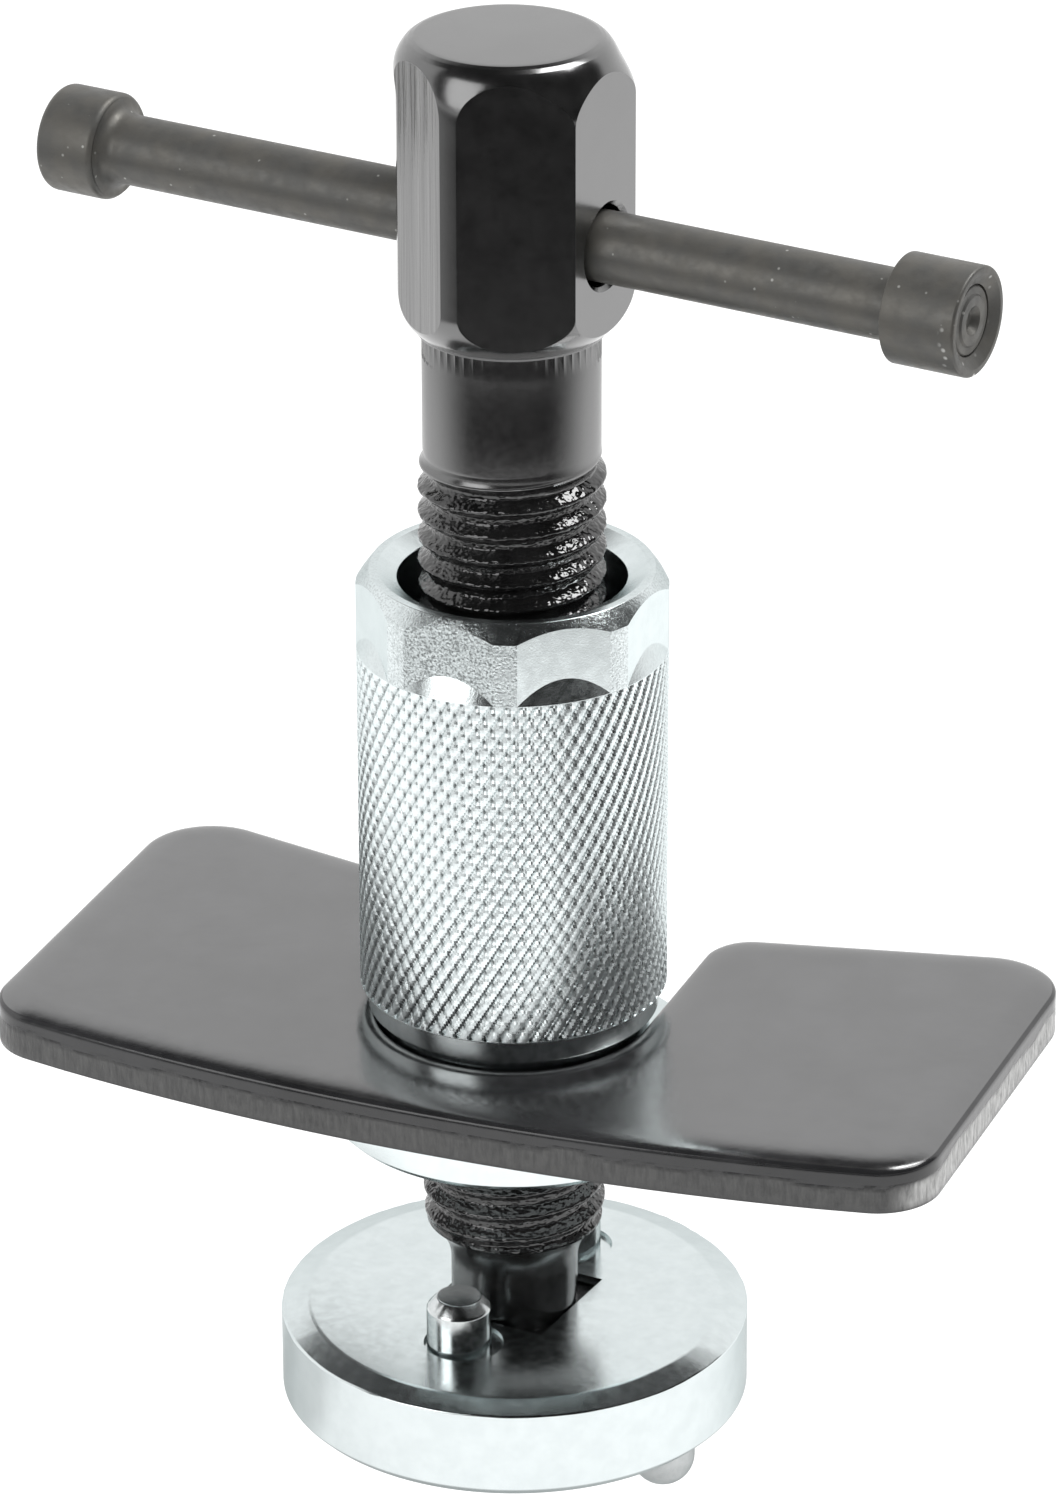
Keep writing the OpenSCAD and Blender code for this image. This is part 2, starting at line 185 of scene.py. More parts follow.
def weld() -> None:
    """Merges doubled points of the piece in edit mode and turns its faces outwards."""
    bpy.ops.mesh.select_mode(type=Part.POINTS.value)
    bpy.ops.mesh.select_all(action="SELECT")
    bpy.ops.mesh.remove_doubles(threshold=WELD)
    bpy.ops.mesh.normals_make_consistent(inside=False)


def settle(piece: Piece) -> Piece:
    """Puts a piece's place, turn and scale into its mesh."""
    take_up(piece)
    bpy.ops.object.transform_apply(location=True, rotation=True, scale=True)
    return piece


def name_it(name: str) -> Piece:
    """Names the object just added, and its mesh."""
    piece = bpy.context.object
    piece.name = name
    piece.data.name = name
    return piece


def round_corner(before: Vector, here: Vector, after: Vector, size: float, step: float) -> list[Vector]:
    """Points of the arc that rounds a corner.

    Args:
        before: Point before the corner.
        here: The corner.
        after: Point after the corner.
        size: Radius of the arc.
        step: Largest angle between two points, in radians.

    Returns:
        The arc's points, from the side of before to the side of after.
    """
    back = (before - here).normalized()
    on = (after - here).normalized()
    half = back.angle(on) / 2
    middle = here + (back + on).normalized() * size / math.sin(half)
    first = (here + back * size / math.tan(half) - middle).normalized()
    last = (here + on * size / math.tan(half) - middle).normalized()
    count = max(2, math.ceil(first.angle(last) / step))
    return [middle + first.slerp(last, i / count) * size for i in range(count + 1)]


def profile(corners: Sequence[Corner], step: float = ARC_STEP) -> list[Vector]:
    """Points of a turned profile, with its corners rounded.

    Args:
        corners: The profile's corners in order. The two ends stay sharp.
        step: Largest angle between two points of an arc, in radians.

    Returns:
        Points in metres in the XZ plane.
    """
    flat = [Vector((c.r, c.z)) for c in corners]
    points = [flat[0]]
    for i in range(1, len(flat) - 1):
        if corners[i].fillet:
            points += round_corner(flat[i - 1], flat[i], flat[i + 1], corners[i].fillet, step)
        else:
            points.append(flat[i])
    points.append(flat[-1])
    return [Vector((p.x, 0, p.y)) * MM for p in points]


def draw(name: str, points: Sequence[Vector]) -> Piece:
    """Draws an open line by extruding one point from place to place.

    Args:
        name: Name of the new object.
        points: Places in metres.

    Returns:
        The new object.
    """
    bpy.ops.mesh.primitive_plane_add(size=MM)
    piece = name_it(name)
    with edit(piece):
        bpy.ops.mesh.merge(type="CENTER")
        bpy.ops.transform.translate(value=points[0])
        for here, there in pairwise(points):
            bpy.ops.mesh.extrude_vertices_move(TRANSFORM_OT_translate={"value": there - here})
    return piece


def lathe(name: str, corners: Sequence[Corner], steps: int = 96) -> Piece:
    """Turns a profile round the Z axis.

    Args:
        name: Name of the new object.
        corners: The profile's corners.
        steps: Number of facets round the axis.

    Returns:
        The new object.
    """
    piece = draw(name, profile(corners))
    with edit(piece):
        bpy.ops.mesh.spin(steps=steps, angle=math.tau, center=(0, 0, 0), axis=(0, 0, 1))
        weld()
    return piece


def prism(sides: int, size: float, bottom: float, top: float, turn: float = 0.0) -> Piece:
    """A cutting tool: a straight prism or cylinder on the Z axis.

    Args:
        sides: Number of its sides.
        size: Radius to its corners.
        bottom: Height of its lower end.
        top: Height of its upper end.
        turn: Angle it is turned by, in degrees.

    Returns:
        The tool.
    """
    bpy.ops.mesh.primitive_cylinder_add(
        vertices=sides,
        radius=size * MM,
        depth=(top - bottom) * MM,
        location=(0, 0, (top + bottom) / 2 * MM),
        rotation=(0, 0, math.radians(turn)),
    )
    return settle(name_it("tool"))


def combine(piece: Piece, tool: Piece, how: Join) -> None:
    """Combines a piece with a tool and removes the tool.

    Args:
        piece: The piece.
        tool: The tool.
        how: Whether the tool cuts, is added or leaves what both share.
    """
    take_up(piece)
    bpy.ops.object.modifier_add(type="BOOLEAN")
    step = piece.modifiers[-1]
    step.operation = how.value
    step.solver = "EXACT"
    step.object = tool
    bpy.ops.object.modifier_apply(modifier=step.name)
    bpy.data.objects.remove(tool)


def join_up(piece: Piece, *others: Piece) -> None:
    """Makes other meshes part of a piece's mesh."""
    take_up(piece)
    for other in others:
        other.select_set(True)
    bpy.ops.object.join()


def bridge(piece: Piece, bottom: float, top: float) -> None:
    """Closes the gap between two open rims of a piece, in edit mode.

    Args:
        piece: The piece in edit mode.
        bottom: Height of the lower rim.
        top: Height of the upper rim.
    """

    def on_rim(edge: bmesh.types.BMEdge) -> bool:
        """Whether an edge lies on one of the two rims."""
        heights = [v.co.z / MM for v in edge.verts]
        return edge.is_boundary and bottom - RIM_REACH <= min(heights) and max(heights) <= top + RIM_REACH

    pick(piece, Part.EDGES, on_rim)
    bpy.ops.mesh.bridge_edge_loops()


def soften(piece: Piece, width: float, angle: float, segments: int = 2) -> None:
    """Rounds every edge that is sharper than an angle.

    Args:
        piece: The piece.
        width: Width of the rounding.
        angle: Least angle between the two faces of an edge, in degrees.
        segments: Number of faces across the rounding.
    """
    take_up(piece)
    bpy.ops.object.modifier_add(type="BEVEL")
    step = piece.modifiers[-1]
    step.width = width * MM
    step.segments = segments
    step.limit_method = "ANGLE"
    step.angle_limit = math.radians(angle)
    step.use_clamp_overlap = True
    bpy.ops.object.modifier_apply(modifier=step.name)


def roughen(piece: Piece, grain: float, depth: float, group: str = "") -> None:
    """Raises and sinks a surface by a cloudy pattern.

    Args:
        piece: The piece.
        grain: Size of the pattern.
        depth: Height from the lowest to the highest point.
        group: Vertex group that limits it, if any.
    """
    pattern = bpy.data.textures.new(f"{piece.name}_lumps", type="CLOUDS")
    pattern.noise_scale = grain * MM
    pattern.noise_depth = 2
    take_up(piece)
    bpy.ops.object.modifier_add(type="DISPLACE")
    step = piece.modifiers[-1]
    step.texture = pattern
    step.texture_coords = "LOCAL"
    step.strength = depth * MM
    step.mid_level = 0.5
    step.vertex_group = group
    bpy.ops.object.modifier_apply(modifier=step.name)


def smooth(piece: Piece, angle: float) -> None:
    """Shades a piece smooth, with sharp edges above an angle in degrees."""
    take_up(piece)
    bpy.ops.object.shade_smooth_by_angle(angle=math.radians(angle))


def even_out(piece: Piece) -> None:
    """Lets the large faces rule the shading, so that flat faces stay flat beside rounded edges."""
    take_up(piece)
    bpy.ops.object.modifier_add(type="WEIGHTED_NORMAL")
    step = piece.modifiers[-1]
    step.weight = 90
    step.keep_sharp = True
    bpy.ops.object.modifier_apply(modifier=step.name)


def mark(piece: Piece, name: str, share: Callable[[Vector], float]) -> None:
    """Stores a value on each point of a piece, as an attribute that a finish reads.

    Args:
        piece: The piece.
        name: Name of the attribute.
        share: Value from 0 to 1 at a point.
    """
    attribute = piece.data.attributes.new(name, "FLOAT", "POINT")
    attribute.data.foreach_set("value", [share(v.co) for v in piece.data.vertices])


def mark_faces(piece: Piece, name: str, share: Callable[[Vector, Vector], float]) -> None:
    """Stores a value on each face of a piece, as an attribute that a finish reads.

    Args:
        piece: The piece.
        name: Name of the attribute.
        share: Value from 0 to 1, from a face's middle and its normal.
    """
    attribute = piece.data.attributes.new(name, "FLOAT", "FACE")
    attribute.data.foreach_set("value", [share(f.center, f.normal) for f in piece.data.polygons])


def group_points(piece: Piece, name: str, share: Callable[[Vector], float]) -> None:
    """Makes a vertex group with a weight for each point of a piece.

    Args:
        piece: The piece.
        name: Name of the group.
        share: Weight from 0 to 1 at a point.
    """
    group = piece.vertex_groups.new(name=name)
    for v in piece.data.vertices:
        weight = share(v.co)
        if weight > 0:
            group.add([v.index], weight, "REPLACE")


def hand_over(piece: Piece, body: str, slot: str, material: bpy.types.Material, *nodes: str) -> None:
    """Finishes a piece.

    Args:
        piece: The piece.
        body: Body that it rides on.
        slot: Slot of its material in the record; not used.
        material: Its material.
        nodes: Solids that it stands for.
    """
    piece.data.materials.clear()
    piece.data.materials.append(material)
    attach(piece, body)
    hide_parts(*nodes)
    log.info("%s: %d faces on body %s", piece.name, len(piece.data.polygons), body)


def finish_part(piece: Piece, material: bpy.types.Material, wanted: Callable[[Vector], bool]) -> None:
    """Gives part of a finished piece a second material.

    Args:
        piece: The piece.
        material: The second material.
        wanted: Test on the middle of a face.
    """
    piece.data.materials.append(material)
    for face in piece.data.polygons:
        face.material_index = int(wanted(face.center))


class Wiring:
    """A node tree under construction."""

    def __init__(self, tree: bpy.types.NodeTree) -> None:
        """Takes up a node tree."""
        self.tree = tree

    def add(self, kind: str, **settings: object) -> bpy.types.Node:
        """Adds a node.

        Args:
            kind: Type of the node.
            settings: Properties by name, and input values by socket name.

        Returns:
            The node.
        """
        node = self.tree.nodes.new(kind)
        for key, value in settings.items():
            if hasattr(node, key):
                setattr(node, key, value)
            else:
                node.inputs[key.replace("_", " ").title()].default_value = value
        return node

    def link(self, source: Socket, target: Socket) -> None:
        """Joins two sockets."""
        self.tree.links.new(source, target)


class Effect(Wiring):
    """A shader node group under construction."""

    def __init__(self, name: str, inputs: dict[str, str], outputs: dict[str, str]) -> None:
        """Starts a group with named sockets.

        Args:
            name: Name of the group.
            inputs: Socket type of each input.
            outputs: Socket type of each output.
        """
        super().__init__(bpy.data.node_groups.new(name, "ShaderNodeTree"))
        for way, sockets in (("INPUT", inputs), ("OUTPUT", outputs)):
            for socket, kind in sockets.items():
                self.tree.interface.new_socket(name=socket, in_out=way, socket_type=kind)
        self.inputs = self.add("NodeGroupInput").outputs
        self.outputs = self.add("NodeGroupOutput").inputs


def cloud_effect() -> bpy.types.NodeTree:
    """Soft patches: a mask of clouds at a given fineness, in patches per metre."""
    effect = Effect(
        "soft_patches",
        {"Place": "NodeSocketVector", "Fineness": "NodeSocketFloat"},
        {"Mask": "NodeSocketFloat"},
    )
    clouds = effect.add("ShaderNodeTexNoise", detail=5.0, roughness=0.6)
    spread = effect.add("ShaderNodeMapRange", interpolation_type="SMOOTHSTEP", from_min=0.32, from_max=0.68)
    effect.link(effect.inputs["Place"], clouds.inputs["Vector"])
    effect.link(effect.inputs["Fineness"], clouds.inputs["Scale"])
    effect.link(clouds.outputs["Fac"], spread.inputs["Value"])
    effect.link(spread.outputs["Result"], effect.outputs["Mask"])
    return effect.tree


def grain_effect() -> bpy.types.NodeTree:
    """Fine grain: a height that a bump reads, stretched along the piece by a given vector."""
    effect = Effect(
        "fine_grain",
        {
            "Place": "NodeSocketVector",
            "Stretch": "NodeSocketVector",
            "Fineness": "NodeSocketFloat",
            "Detail": "NodeSocketFloat",
        },
        {"Height": "NodeSocketFloat"},
    )
    stretch = effect.add("ShaderNodeVectorMath", operation="MULTIPLY")
    grain = effect.add("ShaderNodeTexNoise", roughness=0.55)
    effect.link(effect.inputs["Detail"], grain.inputs["Detail"])
    effect.link(effect.inputs["Place"], stretch.inputs[0])
    effect.link(effect.inputs["Stretch"], stretch.inputs[1])
    effect.link(stretch.outputs["Vector"], grain.inputs["Vector"])
    effect.link(effect.inputs["Fineness"], grain.inputs["Scale"])
    effect.link(grain.outputs["Fac"], effect.outputs["Height"])
    return effect.tree


def speck_effect() -> bpy.types.NodeTree:
    """Specks: a mask of small spots, of which a given share shows."""
    effect = Effect(
        "specks",
        {"Place": "NodeSocketVector", "Fineness": "NodeSocketFloat", "Share": "NodeSocketFloat"},
        {"Mask": "NodeSocketFloat"},
    )
    cells = effect.add("ShaderNodeTexVoronoi")
    drawn = effect.add("ShaderNodeMath", operation="LESS_THAN")
    near = effect.add("ShaderNodeMapRange", from_min=0.34, from_max=0.14)
    both = effect.add("ShaderNodeMath", operation="MULTIPLY")
    effect.link(effect.inputs["Place"], cells.inputs["Vector"])
    effect.link(effect.inputs["Fineness"], cells.inputs["Scale"])
    effect.link(cells.outputs["Color"], drawn.inputs[0])
    effect.link(effect.inputs["Share"], drawn.inputs[1])
    effect.link(cells.outputs["Distance"], near.inputs["Value"])
    effect.link(near.outputs["Result"], both.inputs[0])
    effect.link(drawn.outputs["Value"], both.inputs[1])
    effect.link(both.outputs["Value"], effect.outputs["Mask"])
    return effect.tree


@dataclass(frozen=True)
class Effects:
    """The node groups that the finishes share."""

    clouds: bpy.types.NodeTree
    grain: bpy.types.NodeTree
    specks: bpy.types.NodeTree


class Recipe(Wiring):
    """A material under construction."""

    def __init__(self, name: str, effects: Effects) -> None:
        """Starts a material with a Principled shader.

        Args:
            name: Name of the material.
            effects: The shared node groups.
        """
        self.effects = effects
        self.material = bpy.data.materials.new(name)
        self.material.use_nodes = True
        super().__init__(self.material.node_tree)
        self.skin = self.tree.nodes["Principled BSDF"]
        self.place = self.add("ShaderNodeTexCoord").outputs["Object"]

    def effect(self, tree: bpy.types.NodeTree, **values: object) -> Socket:
        """Places a shared group on the piece's own coordinates.

        Args:
            tree: The group.
            values: Input values by name.

        Returns:
            The group's output.
        """
        node = self.add("ShaderNodeGroup", node_tree=tree)
        self.link(self.place, node.inputs["Place"])
        for key, value in values.items():
            node.inputs[key.title()].default_value = value
        return node.outputs[0]

    def clouds(self, fineness: float) -> Socket:
        """Mask of soft patches."""
        return self.effect(self.effects.clouds, fineness=fineness)

    def specks(self, fineness: float, share: float) -> Socket:
        """Mask of small spots."""
        return self.effect(self.effects.specks, fineness=fineness, share=share)

    def grain(self, fineness: float, stretch: Stretch = (1, 1, 1), detail: float = 3.0) -> Socket:
        """Height of fine grain."""
        return self.effect(self.effects.grain, fineness=fineness, stretch=stretch, detail=detail)

    def attribute(self, name: str) -> Socket:
        """Value that the piece stores on its points or faces."""
        return self.add("ShaderNodeAttribute", attribute_name=name).outputs["Fac"]

    def between(self, mask: Socket, first: float, second: float) -> Socket:
        """Value that goes from first to second as a mask goes from 0 to 1."""
        node = self.add("ShaderNodeMapRange", to_min=first, to_max=second)
        self.link(mask, node.inputs["Value"])
        return node.outputs["Result"]

    def contrast(self, value: Socket, first: float, second: float) -> Socket:
        """Mask that goes from 0 to 1 as a value goes from first to second."""
        node = self.add("ShaderNodeMapRange", from_min=first, from_max=second)
        self.link(value, node.inputs["Value"])
        return node.outputs["Result"]

    def reckon(self, operation: str, first: Socket, second: Socket | float) -> Socket:
        """Sum, product or the like of two values."""
        node = self.add("ShaderNodeMath", operation=operation)
        self.link(first, node.inputs[0])
        if isinstance(second, Socket):
            self.link(second, node.inputs[1])
        else:
            node.inputs[1].default_value = second
        return node.outputs["Value"]

    def mix(self, mask: Socket, first: Colour | Socket, second: Colour | Socket) -> Socket:
        """Colour that goes from first to second as a mask goes from 0 to 1."""
        node = self.add("ShaderNodeMix", data_type="RGBA")
        colour_inputs = [s for s in node.inputs if s.type == "RGBA"]
        self.link(mask, node.inputs["Factor"])
        for socket, colour in zip(colour_inputs, (first, second)):
            if isinstance(colour, Socket):
                self.link(colour, socket)
            else:
                socket.default_value = (*colour, 1)
        return next(s for s in node.outputs if s.type == "RGBA")

    def bump(self, height: Socket, depth: float, before: Socket | None = None) -> Socket:
        """Normal bent by a height.

        Args:
            height: The height, from 0 to 1.
            depth: Depth of the relief.
            before: Normal that another bump has bent, if any.

        Returns:
            The bent normal.
        """
        node = self.add("ShaderNodeBump", distance=depth * MM)
        self.link(height, node.inputs["Height"])
        if before is not None:
            self.link(before, node.inputs["Normal"])
        return node.outputs["Normal"]

    def paint(self, name: str, value: Socket | float | Sequence[float]) -> None:
        """Sets or feeds an input of the Principled shader."""
        if isinstance(value, Socket):
            self.link(value, self.skin.inputs[name])
        else:
            self.skin.inputs[name].default_value = value


def shaded(colour: Colour, factor: float) -> Colour:
    """A colour made darker or lighter by a factor."""
    return tuple(factor * c for c in colour)


@dataclass(frozen=True)
class Zinc:
    """Bright zinc plating with a cold tint, cloudy and slightly grainy.

    Where a piece stores "rough" on its faces, the plating lies on a rough skin, and where it stores
    "rolled" it lies on the matt skin that knurling leaves. On the points of a knurl's grooves it stores
    a mask of painted shade, which darkens the plating there. In every finish, fineness counts patches per
    metre.
    """

    name: str
    bright: Colour
    dull: Colour
    gloss: float
    satin: float
    edge_tint: Colour = (0.62, 0.65, 0.65)
    patch_fineness: float = 420.0
    shine_fineness: float = 900.0
    grain_fineness: float = 5200.0
    grain_depth: float = 0.004
    dot_fineness: float = 4300.0
    dot_edges: Span = (0.47, 0.6)
    dot_shade: float = 0.42
    rough_fineness: float = 3600.0
    rough_depth: float = 0.09
    rough_satin: float = 0.12
    rolled_shade: float = 1.1
    rolled_satin: float = 0.08
    groove_shadow_tone: float = 0.2

    def material(self, effects: Effects) -> bpy.types.Material:
        """Makes the material."""
        recipe = Recipe(self.name, effects)
        rough = recipe.attribute("rough")
        rolled = recipe.attribute("rolled")
        colour = recipe.mix(recipe.clouds(self.patch_fineness), self.bright, self.dull)
        colour = recipe.mix(rolled, colour, shaded(self.bright, self.rolled_shade))
        dots = recipe.contrast(recipe.grain(self.dot_fineness), *self.dot_edges)
        dots = recipe.reckon("MULTIPLY", dots, rough)
        colour = recipe.mix(dots, colour, shaded(self.dull, self.dot_shade))
        # Painted shade: the plating is darkened in the knurl's grooves, most where they cross.
        colour = recipe.mix(recipe.attribute("groove_shadow"), colour, shaded(self.dull, self.groove_shadow_tone))
        recipe.paint("Base Color", colour)
        shine = recipe.between(recipe.clouds(self.shine_fineness), self.gloss, self.satin)
        for mask, satin in ((rough, self.rough_satin), (rolled, self.rolled_satin)):
            shine = recipe.reckon("ADD", shine, recipe.between(mask, 0.0, satin))
        recipe.paint("Roughness", shine)
        fine = recipe.bump(recipe.grain(self.grain_fineness), self.grain_depth)
        skin = recipe.reckon("MULTIPLY", recipe.grain(self.rough_fineness), rough)
        recipe.paint("Normal", recipe.bump(skin, self.rough_depth, fine))
        recipe.paint("Metallic", 1.0)
        recipe.paint("Specular Tint", (*self.edge_tint, 1))
        return recipe.material


@dataclass(frozen=True)
class Lacquer:
    """Black lacquer over steel, with lumps or with the lines of drawn bar under it.

    A piece stores "lumpy" on its points where the lacquer is thick and lumpy, and "drawn" on its faces
    where the lines show.
    """

    name: str
    colour: Colour
    ior: float
    gloss: float
    satin: float
    peel: float = 0.004
    lumps: float = 0.0
    lines: float = 0.0
    coat: float = 0.0
    dust_shade: float = 2.2
    dust_fineness: float = 300.0
    shine_fineness: float = 1300.0
    peel_fineness: float = 2600.0
    lump_fineness: float = 1250.0
    lump_stretch: Stretch = (1, 1, 1.5)
    lump_detail: float = 1.0
    line_fineness: float = 1100.0
    line_stretch: Stretch = (1, 1, 0.025)
    line_edges: Span = (0.35, 0.65)
    line_colour: Colour = (0.1, 0.1, 0.098)

    def material(self, effects: Effects) -> bpy.types.Material:
        """Makes the material."""
        recipe = Recipe(self.name, effects)
        dusty = shaded(self.colour, self.dust_shade)
        colour = recipe.mix(recipe.clouds(self.dust_fineness), self.colour, dusty)
        normal = recipe.bump(recipe.grain(self.peel_fineness), self.peel)
        if self.lumps:
            height = recipe.grain(self.lump_fineness, self.lump_stretch, self.lump_detail)
            height = recipe.reckon("MULTIPLY", height, recipe.attribute("lumpy"))
            normal = recipe.bump(height, self.lumps, normal)
        if self.lines:
            lines = recipe.grain(self.line_fineness, self.line_stretch)
            drawn = recipe.attribute("drawn")
            normal = recipe.bump(recipe.reckon("MULTIPLY", lines, drawn), self.lines, normal)
            streaks = recipe.reckon("MULTIPLY", recipe.contrast(lines, *self.line_edges), drawn)
            colour = recipe.mix(streaks, colour, self.line_colour)
        recipe.paint("Base Color", colour)
        recipe.paint("Roughness", recipe.between(recipe.clouds(self.shine_fineness), self.gloss, self.satin))
        recipe.paint("IOR", self.ior)
        recipe.paint("Coat Weight", self.coat)
        recipe.paint("Coat Roughness", self.gloss)
        recipe.paint("Normal", normal)
        return recipe.material


@dataclass(frozen=True)
class PlatePaint:
    """Black paint on the punched plate, thin over the torn part of its side.

    The plate stores "torn" on its points, and a mask of painted light where its right end is painted pale as
    if lit from the right.
    """

    name: str
    colour: Colour
    torn_colour: Colour
    lit_end_colour: Colour
    ior: float
    gloss: float = 0.15
    satin: float = 0.22
    torn_satin: float = 0.24
    shine_fineness: float = 700.0
    dust_shade: float = 1.8
    dust_fineness: float = 120.0
    peel_fineness: float = 1100.0
    peel: float = 0.012
    streak_fineness: float = 2200.0
    streak_stretch: Stretch = (1, 1, 0.22)
    streak_edges: Span = (0.3, 0.7)
    streak_depth: float = 0.16
    least_wear: float = 0.35

    def material(self, effects: Effects) -> bpy.types.Material:
        """Makes the material."""
        recipe = Recipe(self.name, effects)
        torn = recipe.attribute("torn")
        streaks = recipe.grain(self.streak_fineness, self.streak_stretch)
        wear = recipe.between(recipe.contrast(streaks, *self.streak_edges), self.least_wear, 1.0)
        dusty = shaded(self.colour, self.dust_shade)
        paint = recipe.mix(recipe.clouds(self.dust_fineness), self.colour, dusty)
        # The real torn colour, and towards the right end a pale colour of painted light that stands for light
        # falling from the right.
        tear = recipe.mix(recipe.attribute("lit_end"), self.torn_colour, self.lit_end_colour)
        recipe.paint("Base Color", recipe.mix(recipe.reckon("MULTIPLY", torn, wear), paint, tear))
        shine = recipe.between(recipe.clouds(self.shine_fineness), self.gloss, self.satin)
        recipe.paint("Roughness", recipe.reckon("ADD", shine, recipe.between(torn, 0.0, self.torn_satin)))
        peel = recipe.bump(recipe.grain(self.peel_fineness), self.peel)
        grooves = recipe.reckon("MULTIPLY", streaks, torn)
        recipe.paint("Normal", recipe.bump(grooves, self.streak_depth, peel))
        recipe.paint("IOR", self.ior)
        return recipe.material


@dataclass(frozen=True)
class OiledSteel:
    """Dark oiled steel, satin, with brown tints and bright specks.

    A piece stores "worn" on its points where the steel is chipped bright.
    """

    name: str
    dark: Colour
    brown: Colour
    speck: Colour
    chip: Colour = (0.8, 0.8, 0.78)
    tint_fineness: float = 260.0
    speck_fineness: float = 1900.0
    speck_share: float = 0.1
    chip_fineness: float = 1250.0
    chip_share: float = 0.3
    shine_fineness: float = 900.0
    gloss: float = 0.42
    satin: float = 0.54
    grain_fineness: float = 3400.0
    grain_depth: float = 0.012
    metal: float = 0.6

    def material(self, effects: Effects) -> bpy.types.Material:
        """Makes the material."""
        recipe = Recipe(self.name, effects)
        colour = recipe.mix(recipe.clouds(self.tint_fineness), self.dark, self.brown)
        colour = recipe.mix(recipe.specks(self.speck_fineness, self.speck_share), colour, self.speck)
        chips = recipe.specks(self.chip_fineness, self.chip_share)
        chips = recipe.reckon("MULTIPLY", chips, recipe.attribute("worn"))
        recipe.paint("Base Color", recipe.mix(chips, colour, self.chip))
        recipe.paint("Roughness", recipe.between(recipe.clouds(self.shine_fineness), self.gloss, self.satin))
        recipe.paint("Normal", recipe.bump(recipe.grain(self.grain_fineness), self.grain_depth))
        recipe.paint("Metallic", self.metal)
        return recipe.material


